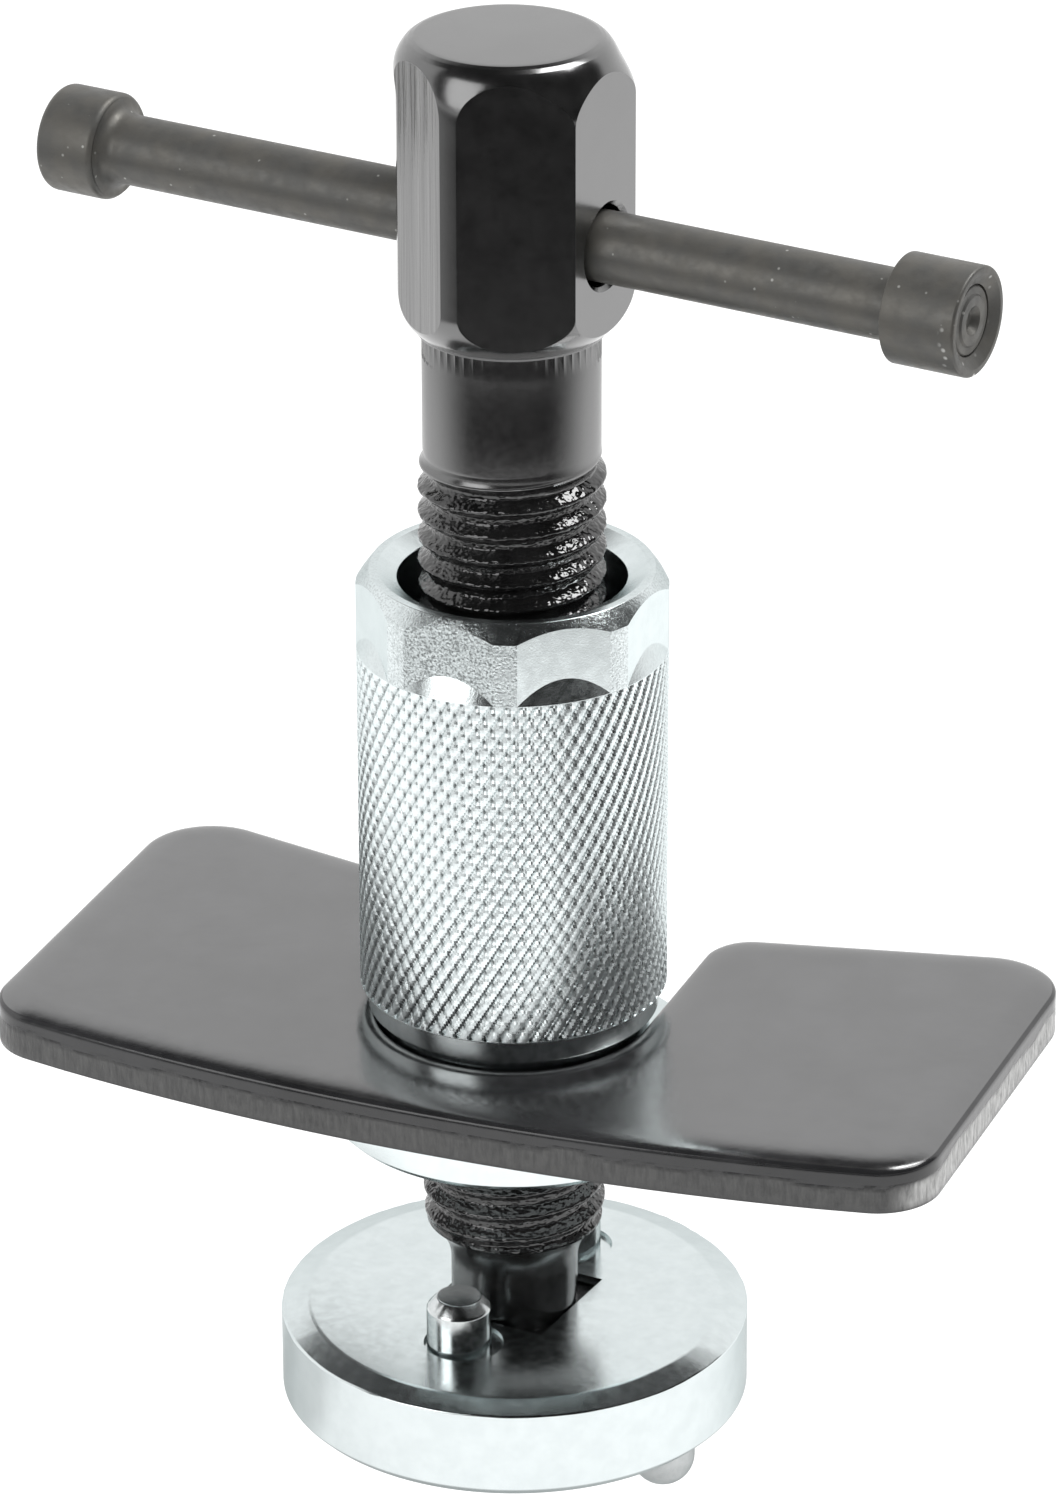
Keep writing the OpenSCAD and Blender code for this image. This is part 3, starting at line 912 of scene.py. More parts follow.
@dataclass
class Spindle:
    """The threaded spindle and the hexagon head pressed onto it."""

    drive_width: float = 12.5
    drive_corner_r: float = 8.4
    drive_len: float = 3.2
    drive_angle: float = -7.0
    drive_edge: float = 0.25
    neck_r: float = 6.3
    neck_root_r: float = 6.2
    neck_edge: float = 0.3
    neck_sink: float = 0.4
    waist_r: float = 6.0
    waist_lap: float = 0.25
    crest_r: float = 9.0
    root_r: float = 7.9
    end_r: float = 8.7
    pitch: float = 2.5
    root_flat: float = 0.35
    crest_start: float = 1.08
    crest_end: float = 1.42
    thread_fillet: float = 0.3
    thread_rise: float = 0.75
    thread_trim: float = 0.5
    run_out: float = 2.0
    thread_len: float = 80.6
    fade_top: float = 0.2
    fade_foot: float = 0.6
    lump_top: float = 1.0
    lump_foot: float = 0.5
    lump_fade: float = 1.0
    lump_grain: float = 0.6
    lump_depth: float = 0.17
    seam_below: float = 0.1
    seam_above: float = 0.25
    shank_r: float = 8.5
    shank_len: float = 13.8
    spigot_r: float = 8.0
    spigot_rise: float = 0.02
    spigot_edge: float = 0.5
    magnet_bore_r: float = 3.05
    magnet_bore: float = 5.05
    teeth: int = 54
    tooth_depth: float = 0.16
    tooth_len: float = 2.4
    tooth_fade: float = 0.3
    head_width: float = 20.6
    head_corner_r: float = 11.15
    head_top_r: float = 9.1
    head_top_h: float = 5.5
    head_foot_r: float = 5.6
    head_foot_h: float = 4.35
    head_lip: float = 0.25
    head_lip_edge: float = 0.12
    head_rim: float = 2.0
    head_edge: float = 0.85
    lined_facing: float = 0.97
    bar_hole_r: float = 3.95
    bar_hole_h: float = 10.0
    sink: float = 0.4
    bar_angle: float = -8.4
    blank_shift: Span = (0.64, -0.38)
    crown_shift: Span = (-0.24, -0.22)
    crown_share: float = 0.7

    def __post_init__(self) -> None:
        """Works the heights out from the frame."""
        self.drive_z = low("spindle")
        self.neck_z = self.drive_z + self.drive_len
        self.head_z = low("hex_head")
        self.shank_z = self.head_z - self.shank_len
        self.thread_z = self.shank_z - self.thread_len
        self.bar_z = self.head_z + self.bar_hole_h
        self.thread_top = self.shank_z + self.run_out - self.seam_below
        self.shank_foot = self.shank_z + self.run_out + self.seam_above
        self.thread_foot = self.thread_z + self.thread_trim
        self.waist_top = self.thread_z + self.waist_lap

    def bar_drill(self) -> Piece:
        """A tool of the size of the bar's hole, in its place."""
        bpy.ops.mesh.primitive_cylinder_add(
            vertices=48,
            radius=self.bar_hole_r * MM,
            depth=4 * self.head_corner_r * MM,
            location=(0, 0, self.bar_z * MM),
            rotation=(0, math.pi / 2, math.radians(self.bar_angle)),
        )
        return settle(name_it("drill"))

    def thread(self) -> Piece:
        """The threaded part: one turn's profile, screwed up the spindle and faded out at both ends."""
        corners = [
            Corner(self.root_r, 0),
            Corner(self.root_r, self.root_flat, self.thread_fillet),
            Corner(self.crest_r, self.crest_start, self.thread_fillet),
            Corner(self.crest_r, self.crest_end, self.thread_fillet),
            Corner(self.root_r, self.pitch - self.root_flat, self.thread_fillet),
            Corner(self.root_r, self.pitch),
        ]
        piece = draw("spindle", profile(corners, math.radians(30)))
        turns = math.ceil(self.thread_len / self.pitch) + 3
        bpy.ops.object.modifier_add(type="SCREW")
        step = piece.modifiers[-1]
        step.steps = step.render_steps = 144
        step.screw_offset = self.pitch * MM
        step.iterations = turns
        bpy.ops.object.modifier_apply(modifier=step.name)
        start = (self.thread_z - 2 * self.pitch + self.thread_rise) * MM
        with edit(piece):
            bpy.ops.transform.translate(value=(0, 0, start))
            weld()
        self.fade_ends(piece)
        group_points(piece, "lumps", self.lumpy)
        roughen(piece, self.lump_grain, self.lump_depth, "lumps")
        with edit(piece):
            for height, way in ((self.thread_top, 1), (self.thread_foot, -1)):
                bpy.ops.mesh.select_all(action="SELECT")
                bpy.ops.mesh.bisect(plane_co=(0, 0, height * MM), plane_no=(0, 0, way), clear_outer=True)
        return piece

    def fade_ends(self, piece: Piece) -> None:
        """Lets the thread run out into the shank above and into the waist below."""
        for v in piece.data.vertices:
            z = v.co.z / MM
            top = ease((self.shank_z + self.run_out - self.fade_top - z) / self.pitch)
            foot = ease((z - self.thread_z + self.fade_foot) / self.pitch)
            here = radius(v.co)
            plain = self.shank_r if z > (self.shank_z + self.thread_z) / 2 else self.end_r
            scale = (plain + (here - plain) * top * foot) / here
            v.co.x *= scale
            v.co.y *= scale

    def lumpy(self, point: Vector) -> float:
        """How lumpy the lacquer is at a point: on the thread, less so where it runs out."""
        z = point.z / MM
        top = ease((self.shank_z + self.lump_top - z) / self.pitch)
        return top * ease((z - self.thread_z + self.lump_foot) / self.lump_fade)

    def is_thread(self, point: Vector) -> bool:
        """Whether a point lies on the thread."""
        return self.lumpy(point) > 0.5

    def shank(self) -> Piece:
        """The plain shank with its serrated upper end, and the end pressed into the head."""
        tooth_z = self.head_z - self.tooth_len
        piece = lathe(
            "shank",
            [
                Corner(self.shank_r, self.shank_foot),
                Corner(self.shank_r, tooth_z - self.tooth_fade),
                Corner(self.shank_r, tooth_z),
                Corner(self.shank_r, self.head_z),
                Corner(self.spigot_r, self.head_z + self.spigot_rise),
                Corner(self.spigot_r, high("spindle"), self.spigot_edge),
                Corner(0, high("spindle")),
            ],
            2 * self.teeth,
        )
        gap = math.tau / (2 * self.teeth)

        def in_groove(point: bmesh.types.BMVert) -> bool:
            """Whether a point lies between two teeth."""
            outside = radius(point.co) > self.spigot_r + RIM_REACH
            toothed = outside and point.co.z / MM > tooth_z - RIM_REACH
            return toothed and round(heading(point.co) / gap) % 2 == 1

        with edit(piece):
            pick(piece, Part.POINTS, in_groove)
            share = 1 - self.tooth_depth / self.shank_r
            bpy.ops.transform.resize(value=(share, share, 1), center_override=(0, 0, 0))
        return piece

    def waist(self) -> Piece:
        """The hollow waist and the neck above the drive end."""
        bend = math.acos(1 - (self.end_r - self.neck_r) / self.waist_r)
        waist_z = self.thread_z - self.waist_r * math.sin(bend)
        curve = [
            Corner(self.neck_r + self.waist_r * (1 - math.cos(bend * i / 12)),
                   waist_z + self.waist_r * math.sin(bend * i / 12))
            for i in range(13)
        ]
        top = Corner(self.end_r, self.waist_top)
        neck = [
            Corner(self.neck_r, self.neck_z + self.neck_edge),
            Corner(self.neck_root_r, self.neck_z - self.neck_sink),
            Corner(0, self.neck_z - self.neck_sink),
        ]
        return lathe("waist", [top, *reversed(curve), *neck], 112)

    def drive(self) -> Piece:
        """The square drive end with turned corners and the bore of the magnet."""
        bpy.ops.mesh.primitive_cube_add(
            size=1,
            location=(0, 0, (self.drive_z + self.drive_len / 2) * MM),
            scale=(self.drive_width * MM, self.drive_width * MM, self.drive_len * MM),
        )
        piece = name_it("drive")
        piece.rotation_euler.z = math.radians(self.drive_angle)
        settle(piece)
        turned = prism(96, self.drive_corner_r, self.drive_z - OVERCUT, self.neck_z + OVERCUT)
        combine(piece, turned, Join.COMMON)
        soften(piece, self.drive_edge, 30)
        return piece

    def build(self) -> Piece:
        """Makes the spindle as one closed mesh."""
        piece = self.thread()
        join_up(piece, self.shank(), self.waist())
        with edit(piece):
            bridge(piece, self.thread_top, self.shank_foot)
            bridge(piece, self.waist_top, self.thread_foot)
            weld()
        combine(piece, self.drive(), Join.ADD)
        bore = prism(48, self.magnet_bore_r, self.drive_z - OVERCUT, self.drive_z + self.magnet_bore)
        combine(piece, bore, Join.CUT)
        combine(piece, self.bar_drill(), Join.CUT)
        mark(piece, "lumpy", self.lumpy)
        smooth(piece, 35)
        return piece

    def build_head(self) -> Piece:
        """Makes the hexagon head: a turned and rounded blank, cut to six flats and drilled for the bar."""
        foot_z = self.head_z + self.head_lip + self.head_foot_h
        top_z = high("hex_head") - self.head_top_h
        foot = [self.foot_corner(foot_z, i / 10) for i in range(11)]
        crown = [self.crown_corner(top_z, i / 12) for i in range(10)]
        edge = self.crown_corner(top_z, 1)
        rim = Corner(edge.r, edge.z, self.head_rim)
        lip = Corner(foot[0].r, self.head_z, self.head_lip_edge)
        blank = [Corner(0, self.head_z), lip, *foot, *crown, rim, Corner(0, high("hex_head"))]
        piece = lathe("hex_head", blank, 120)
        self.set_off_centre(piece, top_z)
        across = self.head_width / 2 / math.cos(math.pi / 6)
        flats = prism(6, across, self.head_z - 5 * OVERCUT, high("hex_head") + 5 * OVERCUT, self.bar_angle)
        combine(piece, flats, Join.COMMON)
        soften(piece, self.head_edge, 14, 4)
        combine(piece, prism(64, self.spigot_r, self.head_z - OVERCUT, high("spindle")), Join.CUT)
        combine(piece, self.bar_drill(), Join.CUT)
        for side in (-1, 1):
            combine(piece, self.countersink(side), Join.CUT)
        smooth(piece, 32)
        even_out(piece)
        turn = math.radians(self.bar_angle - 120)
        lined = Vector((math.cos(turn), math.sin(turn), 0))
        mark_faces(piece, "drawn", lambda middle, normal: float(normal.dot(lined) > self.lined_facing))
        return piece

    def countersink(self, side: int) -> Piece:
        """A tool that opens one end of the bar's hole."""
        turn = math.radians(self.bar_angle)
        out = Vector((math.cos(turn), math.sin(turn), 0)) * side
        bpy.ops.mesh.primitive_cone_add(
            vertices=48,
            radius1=(self.bar_hole_r - self.sink) * MM,
            radius2=(self.bar_hole_r + 2 * self.sink) * MM,
            depth=3 * self.sink * MM,
            location=out * (self.head_width - self.sink) / 2 * MM + Vector((0, 0, self.bar_z * MM)),
            rotation=out.to_track_quat("Z", "Y").to_euler(),
        )
        return settle(name_it("countersink"))

    def set_off_centre(self, piece: Piece, top_z: float) -> None:
        """Moves the turned blank off the hexagon's middle, and its crown back, as on the real head."""
        blank, crown = Vector(self.blank_shift), Vector(self.crown_shift)
        for v in piece.data.vertices:
            z = v.co.z / MM
            foot = ease((z - self.head_z) / (self.head_lip + self.head_foot_h))
            move = (blank * foot).lerp(crown, ease((z - top_z) / (self.crown_share * self.head_top_h)))
            v.co.x += move.x * MM
            v.co.y += move.y * MM

    def foot_corner(self, foot_z: float, share: float) -> Corner:
        """Point of the curve that rounds the head's lower end in, from the lip at 0 to the side at 1."""
        drop = self.head_foot_h * (1 - share)
        inward = self.head_foot_r - math.sqrt(self.head_foot_r**2 - drop**2)
        return Corner(self.head_corner_r - inward, foot_z - drop)

    def crown_corner(self, top_z: float, share: float) -> Corner:
        """Point of the curve that rounds the head's top off, from the side at 0 to the top at 1."""
        rise = self.head_top_h * share
        inward = self.head_top_r - math.sqrt(self.head_top_r**2 - rise**2)
        return Corner(self.head_corner_r - inward, top_z + rise)


@dataclass
class TommyBar:
    """The sliding bar with its forged knob and the collar swaged onto its other end."""

    bar_r: float = 3.4
    length: float = 98.7
    shift: float = -0.55
    knob_r: float = 5.2
    knob_len: float = 7.5
    forged_len: float = 6.4
    knob_fillet: float = 1.4
    knob_edge: float = 0.7
    collar_edge: float = 0.3
    dish_w: float = 1.1
    dish_depth: float = 0.7
    boss_r: float = 2.3
    boss_step: float = 0.18
    dimple_r: float = 1.4
    dimple_depth: float = 0.55
    dimple_edge: float = 0.3
    floor_share: float = 0.6
    hollow: float = 0.12
    hollow_side: float = 0.05
    hollow_round: float = 6.0
    rivet_chamfer: float = 0.25
    rivet_edge: float = 0.1
    boss_slope: float = 0.2
    boss_edge: float = 0.08
    collar_rim: float = 0.12
    collar_band: float = 1.6
    worn_len: float = 1.5
    worn_fade: float = 1.3
    worn_gap: float = 0.4
    worn_side_fade: float = 0.8

    def set_in(self, piece: Piece, spindle: Spindle) -> Piece:
        """Lays a piece turned on the Z axis in the bar's place."""
        along = Vector(next(j["axis"] for j in frame["joints"] if j["name"] == "bar_slide"))
        piece.rotation_euler = (0, math.pi / 2, math.radians(spindle.bar_angle))
        piece.location = Vector((0, 0, spindle.bar_z * MM)) + along * self.shift * MM
        return settle(piece)

    def build(self, spindle: Spindle) -> Piece:
        """Makes the bar with its forged knob and riveted end."""
        end = self.length / 2
        rivet = end - self.dish_depth
        piece = lathe(
            "tommy_bar",
            [
                Corner(0, -end + self.hollow),
                Corner(self.knob_r * self.floor_share, -end + self.hollow_side, self.hollow_round),
                Corner(self.knob_r, -end, self.knob_edge),
                Corner(self.knob_r, -end + self.forged_len, self.knob_edge),
                Corner(self.bar_r, -end + self.forged_len, self.knob_fillet),
                Corner(self.bar_r, rivet - self.rivet_chamfer, self.rivet_edge),
                Corner(self.bar_r - self.rivet_chamfer, rivet, self.rivet_edge),
                Corner(self.boss_r + self.boss_slope, rivet, self.boss_edge),
                Corner(self.boss_r, rivet + self.boss_step, self.boss_edge),
                Corner(self.dimple_r, rivet + self.boss_step, self.rivet_edge),
                Corner(self.dimple_r * self.floor_share, rivet - self.dimple_depth, self.dimple_edge),
                Corner(0, rivet - self.dimple_depth),
            ],
            72,
        )
        self.set_in(piece, spindle)
        smooth(piece, 40)
        return piece

    def build_collar(self, spindle: Spindle) -> Piece:
        """Makes the collar with its dished end."""
        end = self.length / 2
        back = end - self.knob_len
        piece = lathe(
            "bar_end_collar",
            [
                Corner(self.bar_r, back),
                Corner(self.knob_r, back, self.collar_rim),
                Corner(self.knob_r, end - self.collar_band),
                Corner(self.knob_r, end, self.collar_edge),
                Corner(self.bar_r + self.dish_w, end, self.collar_rim),
                Corner(self.bar_r, end - self.dish_depth),
                Corner(self.bar_r, back),
            ],
            96,
        )
        mark(piece, "worn", self.worn)
        self.set_in(piece, spindle)
        smooth(piece, 40)
        return piece

    def worn(self, point: Vector) -> float:
        """How chipped the collar is at a point, before it is laid in place: at its end, outside the bar."""
        along = ease((point.z / MM - self.length / 2 + self.worn_len) / self.worn_fade)
        return along * ease((radius(point) - self.bar_r - self.worn_gap) / self.worn_side_fade)


@dataclass
class ThrustNut:
    """The zinc-plated nut: flange, neck, ring, knurled sleeve and eight wrench flats."""

    hole_r: float = 9.05
    hole_chamfer: float = 1.0
    flange_r: float = 18.3
    flange_t: float = 6.4
    flange_chamfer: float = 0.7
    neck_r: float = 13.3
    neck_h: float = 5.5
    ring_r: float = 14.2
    ring_h: float = 2.3
    sleeve_r: float = 15.0
    sleeve_h: float = 35.8
    wrench_width: float = 28.5
    half_moon_h: float = 2.2
    chamfer_h: float = 1.7
    rim_r: float = 13.7
    rim_w: float = 0.8
    wrench_angle: float = 19.0
    counterbore_r: float = 11.0
    counterbore: float = 26.0
    countersink: float = 0.9
    knurl_starts: int = 64
    knurl_rows: int = 29
    deep_groove: float = 0.25
    deep_groove_w: float = 0.3
    cross_groove: float = 0.06
    cross_groove_w: float = 0.24
    groove_shade: float = 0.1
    knurl_lift: float = 0.45
    knurl_gap: float = 0.1
    knurl_lap: float = 0.05
    sleeve_chamfer: float = 0.35
    sleeve_foot: float = 0.1
    rim_edge: float = 0.15
    plain_edge: float = 0.2
    flange_edge: float = 0.25
    neck_fillet: float = 0.3
    ring_edge: float = 0.1
    moon_lap: float = 0.02
    cone_below: float = 1.0
    cone_above: float = 5.0
    rough_flat: float = -93.5
    rough_start: float = 0.3
    rough_chamfer: float = 0.3
    rough_moon: float = 0.12
    rough_edge: float = 0.45
    flat_facing: float = 0.995
    beside_facing: float = 0.3
    moon_facing: float = 0.2
    rolled_below: float = 0.3
    rolled_above: float = 0.1

    def __post_init__(self) -> None:
        """Works the heights out from the frame."""
        self.foot = low("thrust_nut")
        self.top = high("thrust_nut")
        self.neck_z = self.foot + self.flange_t
        self.ring_z = self.neck_z + self.neck_h
        self.sleeve_z = self.ring_z + self.ring_h
        self.wrench_z = self.sleeve_z + self.sleeve_h
        self.knurl_z = self.sleeve_z + self.knurl_lift
        self.knurl_top = self.wrench_z - self.knurl_gap

    def blank(self) -> Piece:
        """The turned blank, with a plain sleeve."""
        step_z = self.top - self.countersink - self.counterbore
        return lathe(
            "thrust_nut",
            [
                Corner(self.hole_r + self.hole_chamfer, self.foot),
                Corner(self.flange_r - self.flange_chamfer, self.foot, self.rim_edge),
                Corner(self.flange_r, self.foot + self.flange_chamfer, self.plain_edge),
                Corner(self.flange_r, self.neck_z, self.flange_edge),
                Corner(self.neck_r, self.neck_z, self.neck_fillet),
                Corner(self.neck_r, self.ring_z, self.plain_edge),
                Corner(self.ring_r, self.ring_z, self.plain_edge),
                Corner(self.ring_r, self.sleeve_z, self.ring_edge),
                Corner(self.sleeve_r - self.sleeve_chamfer, self.sleeve_z + self.sleeve_foot),
                Corner(self.sleeve_r, self.knurl_z - self.knurl_gap),
                Corner(self.sleeve_r, self.knurl_top + self.knurl_lap),
                Corner(self.sleeve_r, self.top - self.chamfer_h),
                Corner(self.rim_r, self.top, self.rim_edge),
                Corner(self.rim_r - self.rim_w, self.top, self.rim_edge),
                Corner(self.counterbore_r, self.top - self.countersink, self.plain_edge),
                Corner(self.counterbore_r, step_z),
                Corner(self.hole_r, step_z),
                Corner(self.hole_r, self.foot + self.hole_chamfer),
                Corner(self.hole_r + self.hole_chamfer, self.foot),
            ],
            2 * self.knurl_starts,
        )

    def flats_cutter(self) -> Piece:
        """A tool that leaves the eight flats and the sloping half-moons at their feet."""
        taper = (2 * self.sleeve_r - self.wrench_width) / 2 / self.half_moon_h
        foot = self.wrench_z - self.moon_lap
        tool = prism(64, self.sleeve_r + 5 * OVERCUT, foot, self.top + 3 * OVERCUT)
        across = self.wrench_width / 2 / math.cos(math.pi / 8)
        flats = prism(8, across, foot - 2 * OVERCUT, self.top + 5 * OVERCUT, self.wrench_angle)
        combine(tool, flats, Join.CUT)
        bpy.ops.mesh.primitive_cone_add(
            vertices=128,
            radius1=(self.sleeve_r + self.cone_below * taper) * MM,
            radius2=(self.sleeve_r - self.cone_above * taper) * MM,
            depth=(self.cone_above + self.cone_below) * MM,
            location=(0, 0, (self.wrench_z + (self.cone_above - self.cone_below) / 2) * MM),
        )
        combine(tool, settle(name_it("cone")), Join.CUT)
        return tool

    def grooves(self, point: Vector) -> Span:
        """Depths of the knurl's two sets of grooves at a point, from 0 on the lands to 1 in the middle."""
        turn = heading(point) * self.knurl_starts / math.tau
        share = (point.z / MM - self.knurl_z) / (self.knurl_top - self.knurl_z)
        rise = share * self.knurl_rows / 2
        deep, cross = (abs(way - round(way)) for way in (turn - rise, turn + rise))
        return ease(1 - deep / self.deep_groove_w), ease(1 - cross / self.cross_groove_w)

    def knurl(self) -> Piece:
        """The knurled sleeve: small lands between deep grooves one way and shallow ones the other way."""
        rows = 4 * self.knurl_rows
        step = (self.knurl_top - self.knurl_z) / rows
        line = [Corner(self.sleeve_r, self.knurl_z + i * step) for i in range(rows + 1)]
        piece = lathe("knurl", line, 8 * self.knurl_starts)
        # Stores the painted shade of the grooves, from the points before the grooves are cut in.
        mark(piece, "groove_shadow", self.groove_shadow)
        for v in piece.data.vertices:
            deep, cross = self.grooves(v.co)
            share = 1 - (self.deep_groove * deep + self.cross_groove * cross) / self.sleeve_r
            v.co.x *= share
            v.co.y *= share
        return piece

    def groove_shadow(self, point: Vector) -> float:
        """Painted shade in the knurl's grooves at a point: a little in the deep grooves, most where others
        cross them.
        """
        deep, cross = self.grooves(point)
        return self.groove_shade * deep + (1 - self.groove_shade) * deep * cross

    def is_sleeve(self, face: bmesh.types.BMFace) -> bool:
        """Whether a face of the blank gives way to the knurl."""
        middle = face.calc_center_median()
        return self.knurl_z < middle.z / MM < self.knurl_top and radius(middle) > self.ring_r

    def build(self) -> Piece:
        """Makes the nut as one closed mesh."""
        piece = self.blank()
        combine(piece, self.flats_cutter(), Join.CUT)
        smooth(piece, 14)
        with edit(piece):
            pick(piece, Part.FACES, self.is_sleeve)
            bpy.ops.mesh.delete(type="FACE")
        join_up(piece, self.knurl())
        with edit(piece):
            bridge(piece, self.knurl_z - self.knurl_gap, self.knurl_z)
            bridge(piece, self.knurl_top, self.knurl_top + self.knurl_lap)
            weld()
        self.mark_skins(piece)
        return piece

    def roughness(self, middle: Vector, normal: Vector) -> float:
        """How rough the skin under a face is: one wrench flat most, the edges beside it less."""
        turn = math.radians(self.rough_flat)
        towards = normal.dot(Vector((math.cos(turn), math.sin(turn), 0)))
        z, r = middle.z / MM, radius(middle)
        sloping = normal.z > self.moon_facing
        if z < self.wrench_z + self.rough_start or r < self.rim_r - self.rim_w:
            return 0.0
        if towards > self.flat_facing:
            return 1.0
        if self.top - self.chamfer_h < z < self.top - RIM_REACH:
            return self.rough_chamfer
        if sloping or r < self.wrench_width / 2 + RIM_REACH:
            return self.rough_moon * sloping
        return self.rough_edge if towards > self.beside_facing else 0.0

    def rolled(self, middle: Vector, normal: Vector) -> float:
        """Whether a face lies on the skin that knurling leaves."""
        above = middle.z / MM > self.knurl_z - self.rolled_below
        below = middle.z / MM < self.knurl_top + self.rolled_above
        return float(above and below and radius(middle) > self.ring_r)

    def mark_skins(self, piece: Piece) -> None:
        """Stores where the plating lies on a rough skin and where on a knurled one."""
        mark_faces(piece, "rough", self.roughness)
        mark_faces(piece, "rolled", self.rolled)


@dataclass
class AdapterDisc:
    """The two-sided adapter: a disc with square sockets and pressed pins."""

    disc_r: float = 23.25
    bevel_w: float = 2.75
    bevel_h: float = 0.95
    bevel_shift: Span = (0.25, -0.6)
    bevel_edge: float = 1.5
    rim_edge: float = 0.3
    foot_edge: float = 0.4
    plain_edge: float = 0.2
    fine_edge: float = 0.14
    dent_half: float = 1.4
    dent_reach: float = 0.6
    dent_grain: float = 0.9
    dent_depth: float = 0.16
    chamfer: float = 0.8
    socket_w: float = 12.9
    socket_depth: float = 4.2
    pin_r: float = 3.2
    pin_root_r: float = 2.5
    pin_grip: float = 7.0
    ring_w: float = 0.75
    ring_shift: Span = (0.4, 0.16)
    ring_depth: float = 0.5
    turn: float = -7.0
    upper_span: float = 22.8
    lower_span: float = 33.5
    upper_h: float = 5.2
    lower_h: float = 7.0
    pin_chamfer: float = 1.0
    pin_step: float = 0.12
    pin_edge: float = 0.25
    pin_hollow: float = 0.06

    def __post_init__(self) -> None:
        """Works the heights out from the frame."""
        self.foot = low("adapter_disc")
        self.top = high("adapter_disc")

    def build(self) -> Piece:
        """Makes the disc with its sockets and the ring cuts round its pins."""
        piece = lathe(
            "adapter_disc",
            [
                Corner(0, self.foot),
                Corner(self.disc_r - self.chamfer, self.foot, self.plain_edge),
                Corner(self.disc_r, self.foot + self.chamfer, self.foot_edge),
                Corner(self.disc_r, self.top - self.bevel_h, self.rim_edge),
                Corner(self.disc_r - self.bevel_w, self.top, self.bevel_edge),
                Corner(0, self.top),
            ],
            160,
        )
        self.wear(piece)
        for face, upper in ((self.top, True), (self.foot, False)):
            bpy.ops.mesh.primitive_cube_add(
                size=1,
                location=(0, 0, face * MM),
                rotation=(0, 0, math.radians(self.turn)),
                scale=(self.socket_w * MM, self.socket_w * MM, 2 * self.socket_depth * MM),
            )
            combine(piece, settle(name_it("socket")), Join.CUT)
            for side in (-1, 1):
                self.drill_pin_hole(piece, face, self.pin_place(side, upper))
        soften(piece, self.fine_edge, 40)
        smooth(piece, 30)
        even_out(piece)
        return piece

    def drill_pin_hole(self, piece: Piece, face: float, place: Vector) -> None:
        """Cuts the ring round a pin, a little off centre, and the hole that holds its root.

        Args:
            piece: The disc.
            face: Height of the disc's face.
            place: Place of the pin's axis.
        """
        ring = Vector((*self.ring_shift, 0))
        cuts = ((self.pin_r + self.ring_w, self.ring_depth, ring), (self.pin_root_r, self.pin_grip, Vector()))
        for size, depth, shift in cuts:
            drill = prism(48, size, face - depth, face + depth)
            drill.location = (place + shift) * MM
            combine(piece, settle(drill), Join.CUT)

    def wear(self, piece: Piece) -> None:
        """Moves the upper bevel a little off centre and dents the rim below it."""
        shift = Vector((*self.bevel_shift, 0)) * MM
        for v in piece.data.vertices:
            v.co += shift * ease((v.co.z / MM - self.top + self.bevel_h) / self.bevel_h)
        group_points(piece, "rim", self.dented)
        roughen(piece, self.dent_grain, self.dent_depth, "rim")

    def dented(self, point: Vector) -> float:
        """How dented the rim is at a point."""
        off = abs(point.z / MM - (self.top - self.bevel_h))
        return ease(self.dent_half - off) * (radius(point) > self.disc_r - self.dent_reach)

    def pin_place(self, side: int, upper: bool) -> Vector:
        """Place of a pin's axis: the line through the upper pins crosses the line through the lower ones."""
        turn = math.radians(self.turn + (90 if upper else 0))
        span = self.upper_span if upper else self.lower_span
        return Vector((math.cos(turn), math.sin(turn), 0)) * side * span / 2

    def build_upper_pin(self, name: str, side: int) -> Piece:
        """Makes a pin with a chamfered tip."""
        tip = self.top + self.upper_h
        seat = self.top - self.ring_depth
        piece = lathe(
            name,
            [
                Corner(0, self.top - self.pin_grip),
                Corner(self.pin_root_r, self.top - self.pin_grip, self.plain_edge),
                Corner(self.pin_root_r, seat),
                Corner(self.pin_r, seat),
                Corner(self.pin_r, tip - self.pin_chamfer - self.pin_edge, self.pin_step),
                Corner(self.pin_r - self.pin_step, tip - self.pin_chamfer, self.pin_step),
                Corner(self.pin_r - self.pin_chamfer, tip, self.pin_edge),
                Corner(0, tip - self.pin_hollow),
            ],
            64,
        )
        piece.location = self.pin_place(side, True) * MM
        smooth(settle(piece), 30)
        return piece

    def build_lower_pin(self, name: str, side: int) -> Piece:
        """Makes a pin with a round tip."""
        seat = self.foot + self.ring_depth
        dome_z = self.foot - self.lower_h + self.pin_r
        dome = [
            Corner(self.pin_r * math.cos(a), dome_z - self.pin_r * math.sin(a))
            for a in (math.pi / 2 * i / 10 for i in range(11))
        ]
        root = [
            Corner(0, self.foot + self.pin_grip),
            Corner(self.pin_root_r, self.foot + self.pin_grip, self.plain_edge),
            Corner(self.pin_root_r, seat),
            Corner(self.pin_r, seat),
        ]
        piece = lathe(name, [*root, *dome], 64)
        piece.location = self.pin_place(side, False) * MM
        smooth(settle(piece), 30)
        return piece


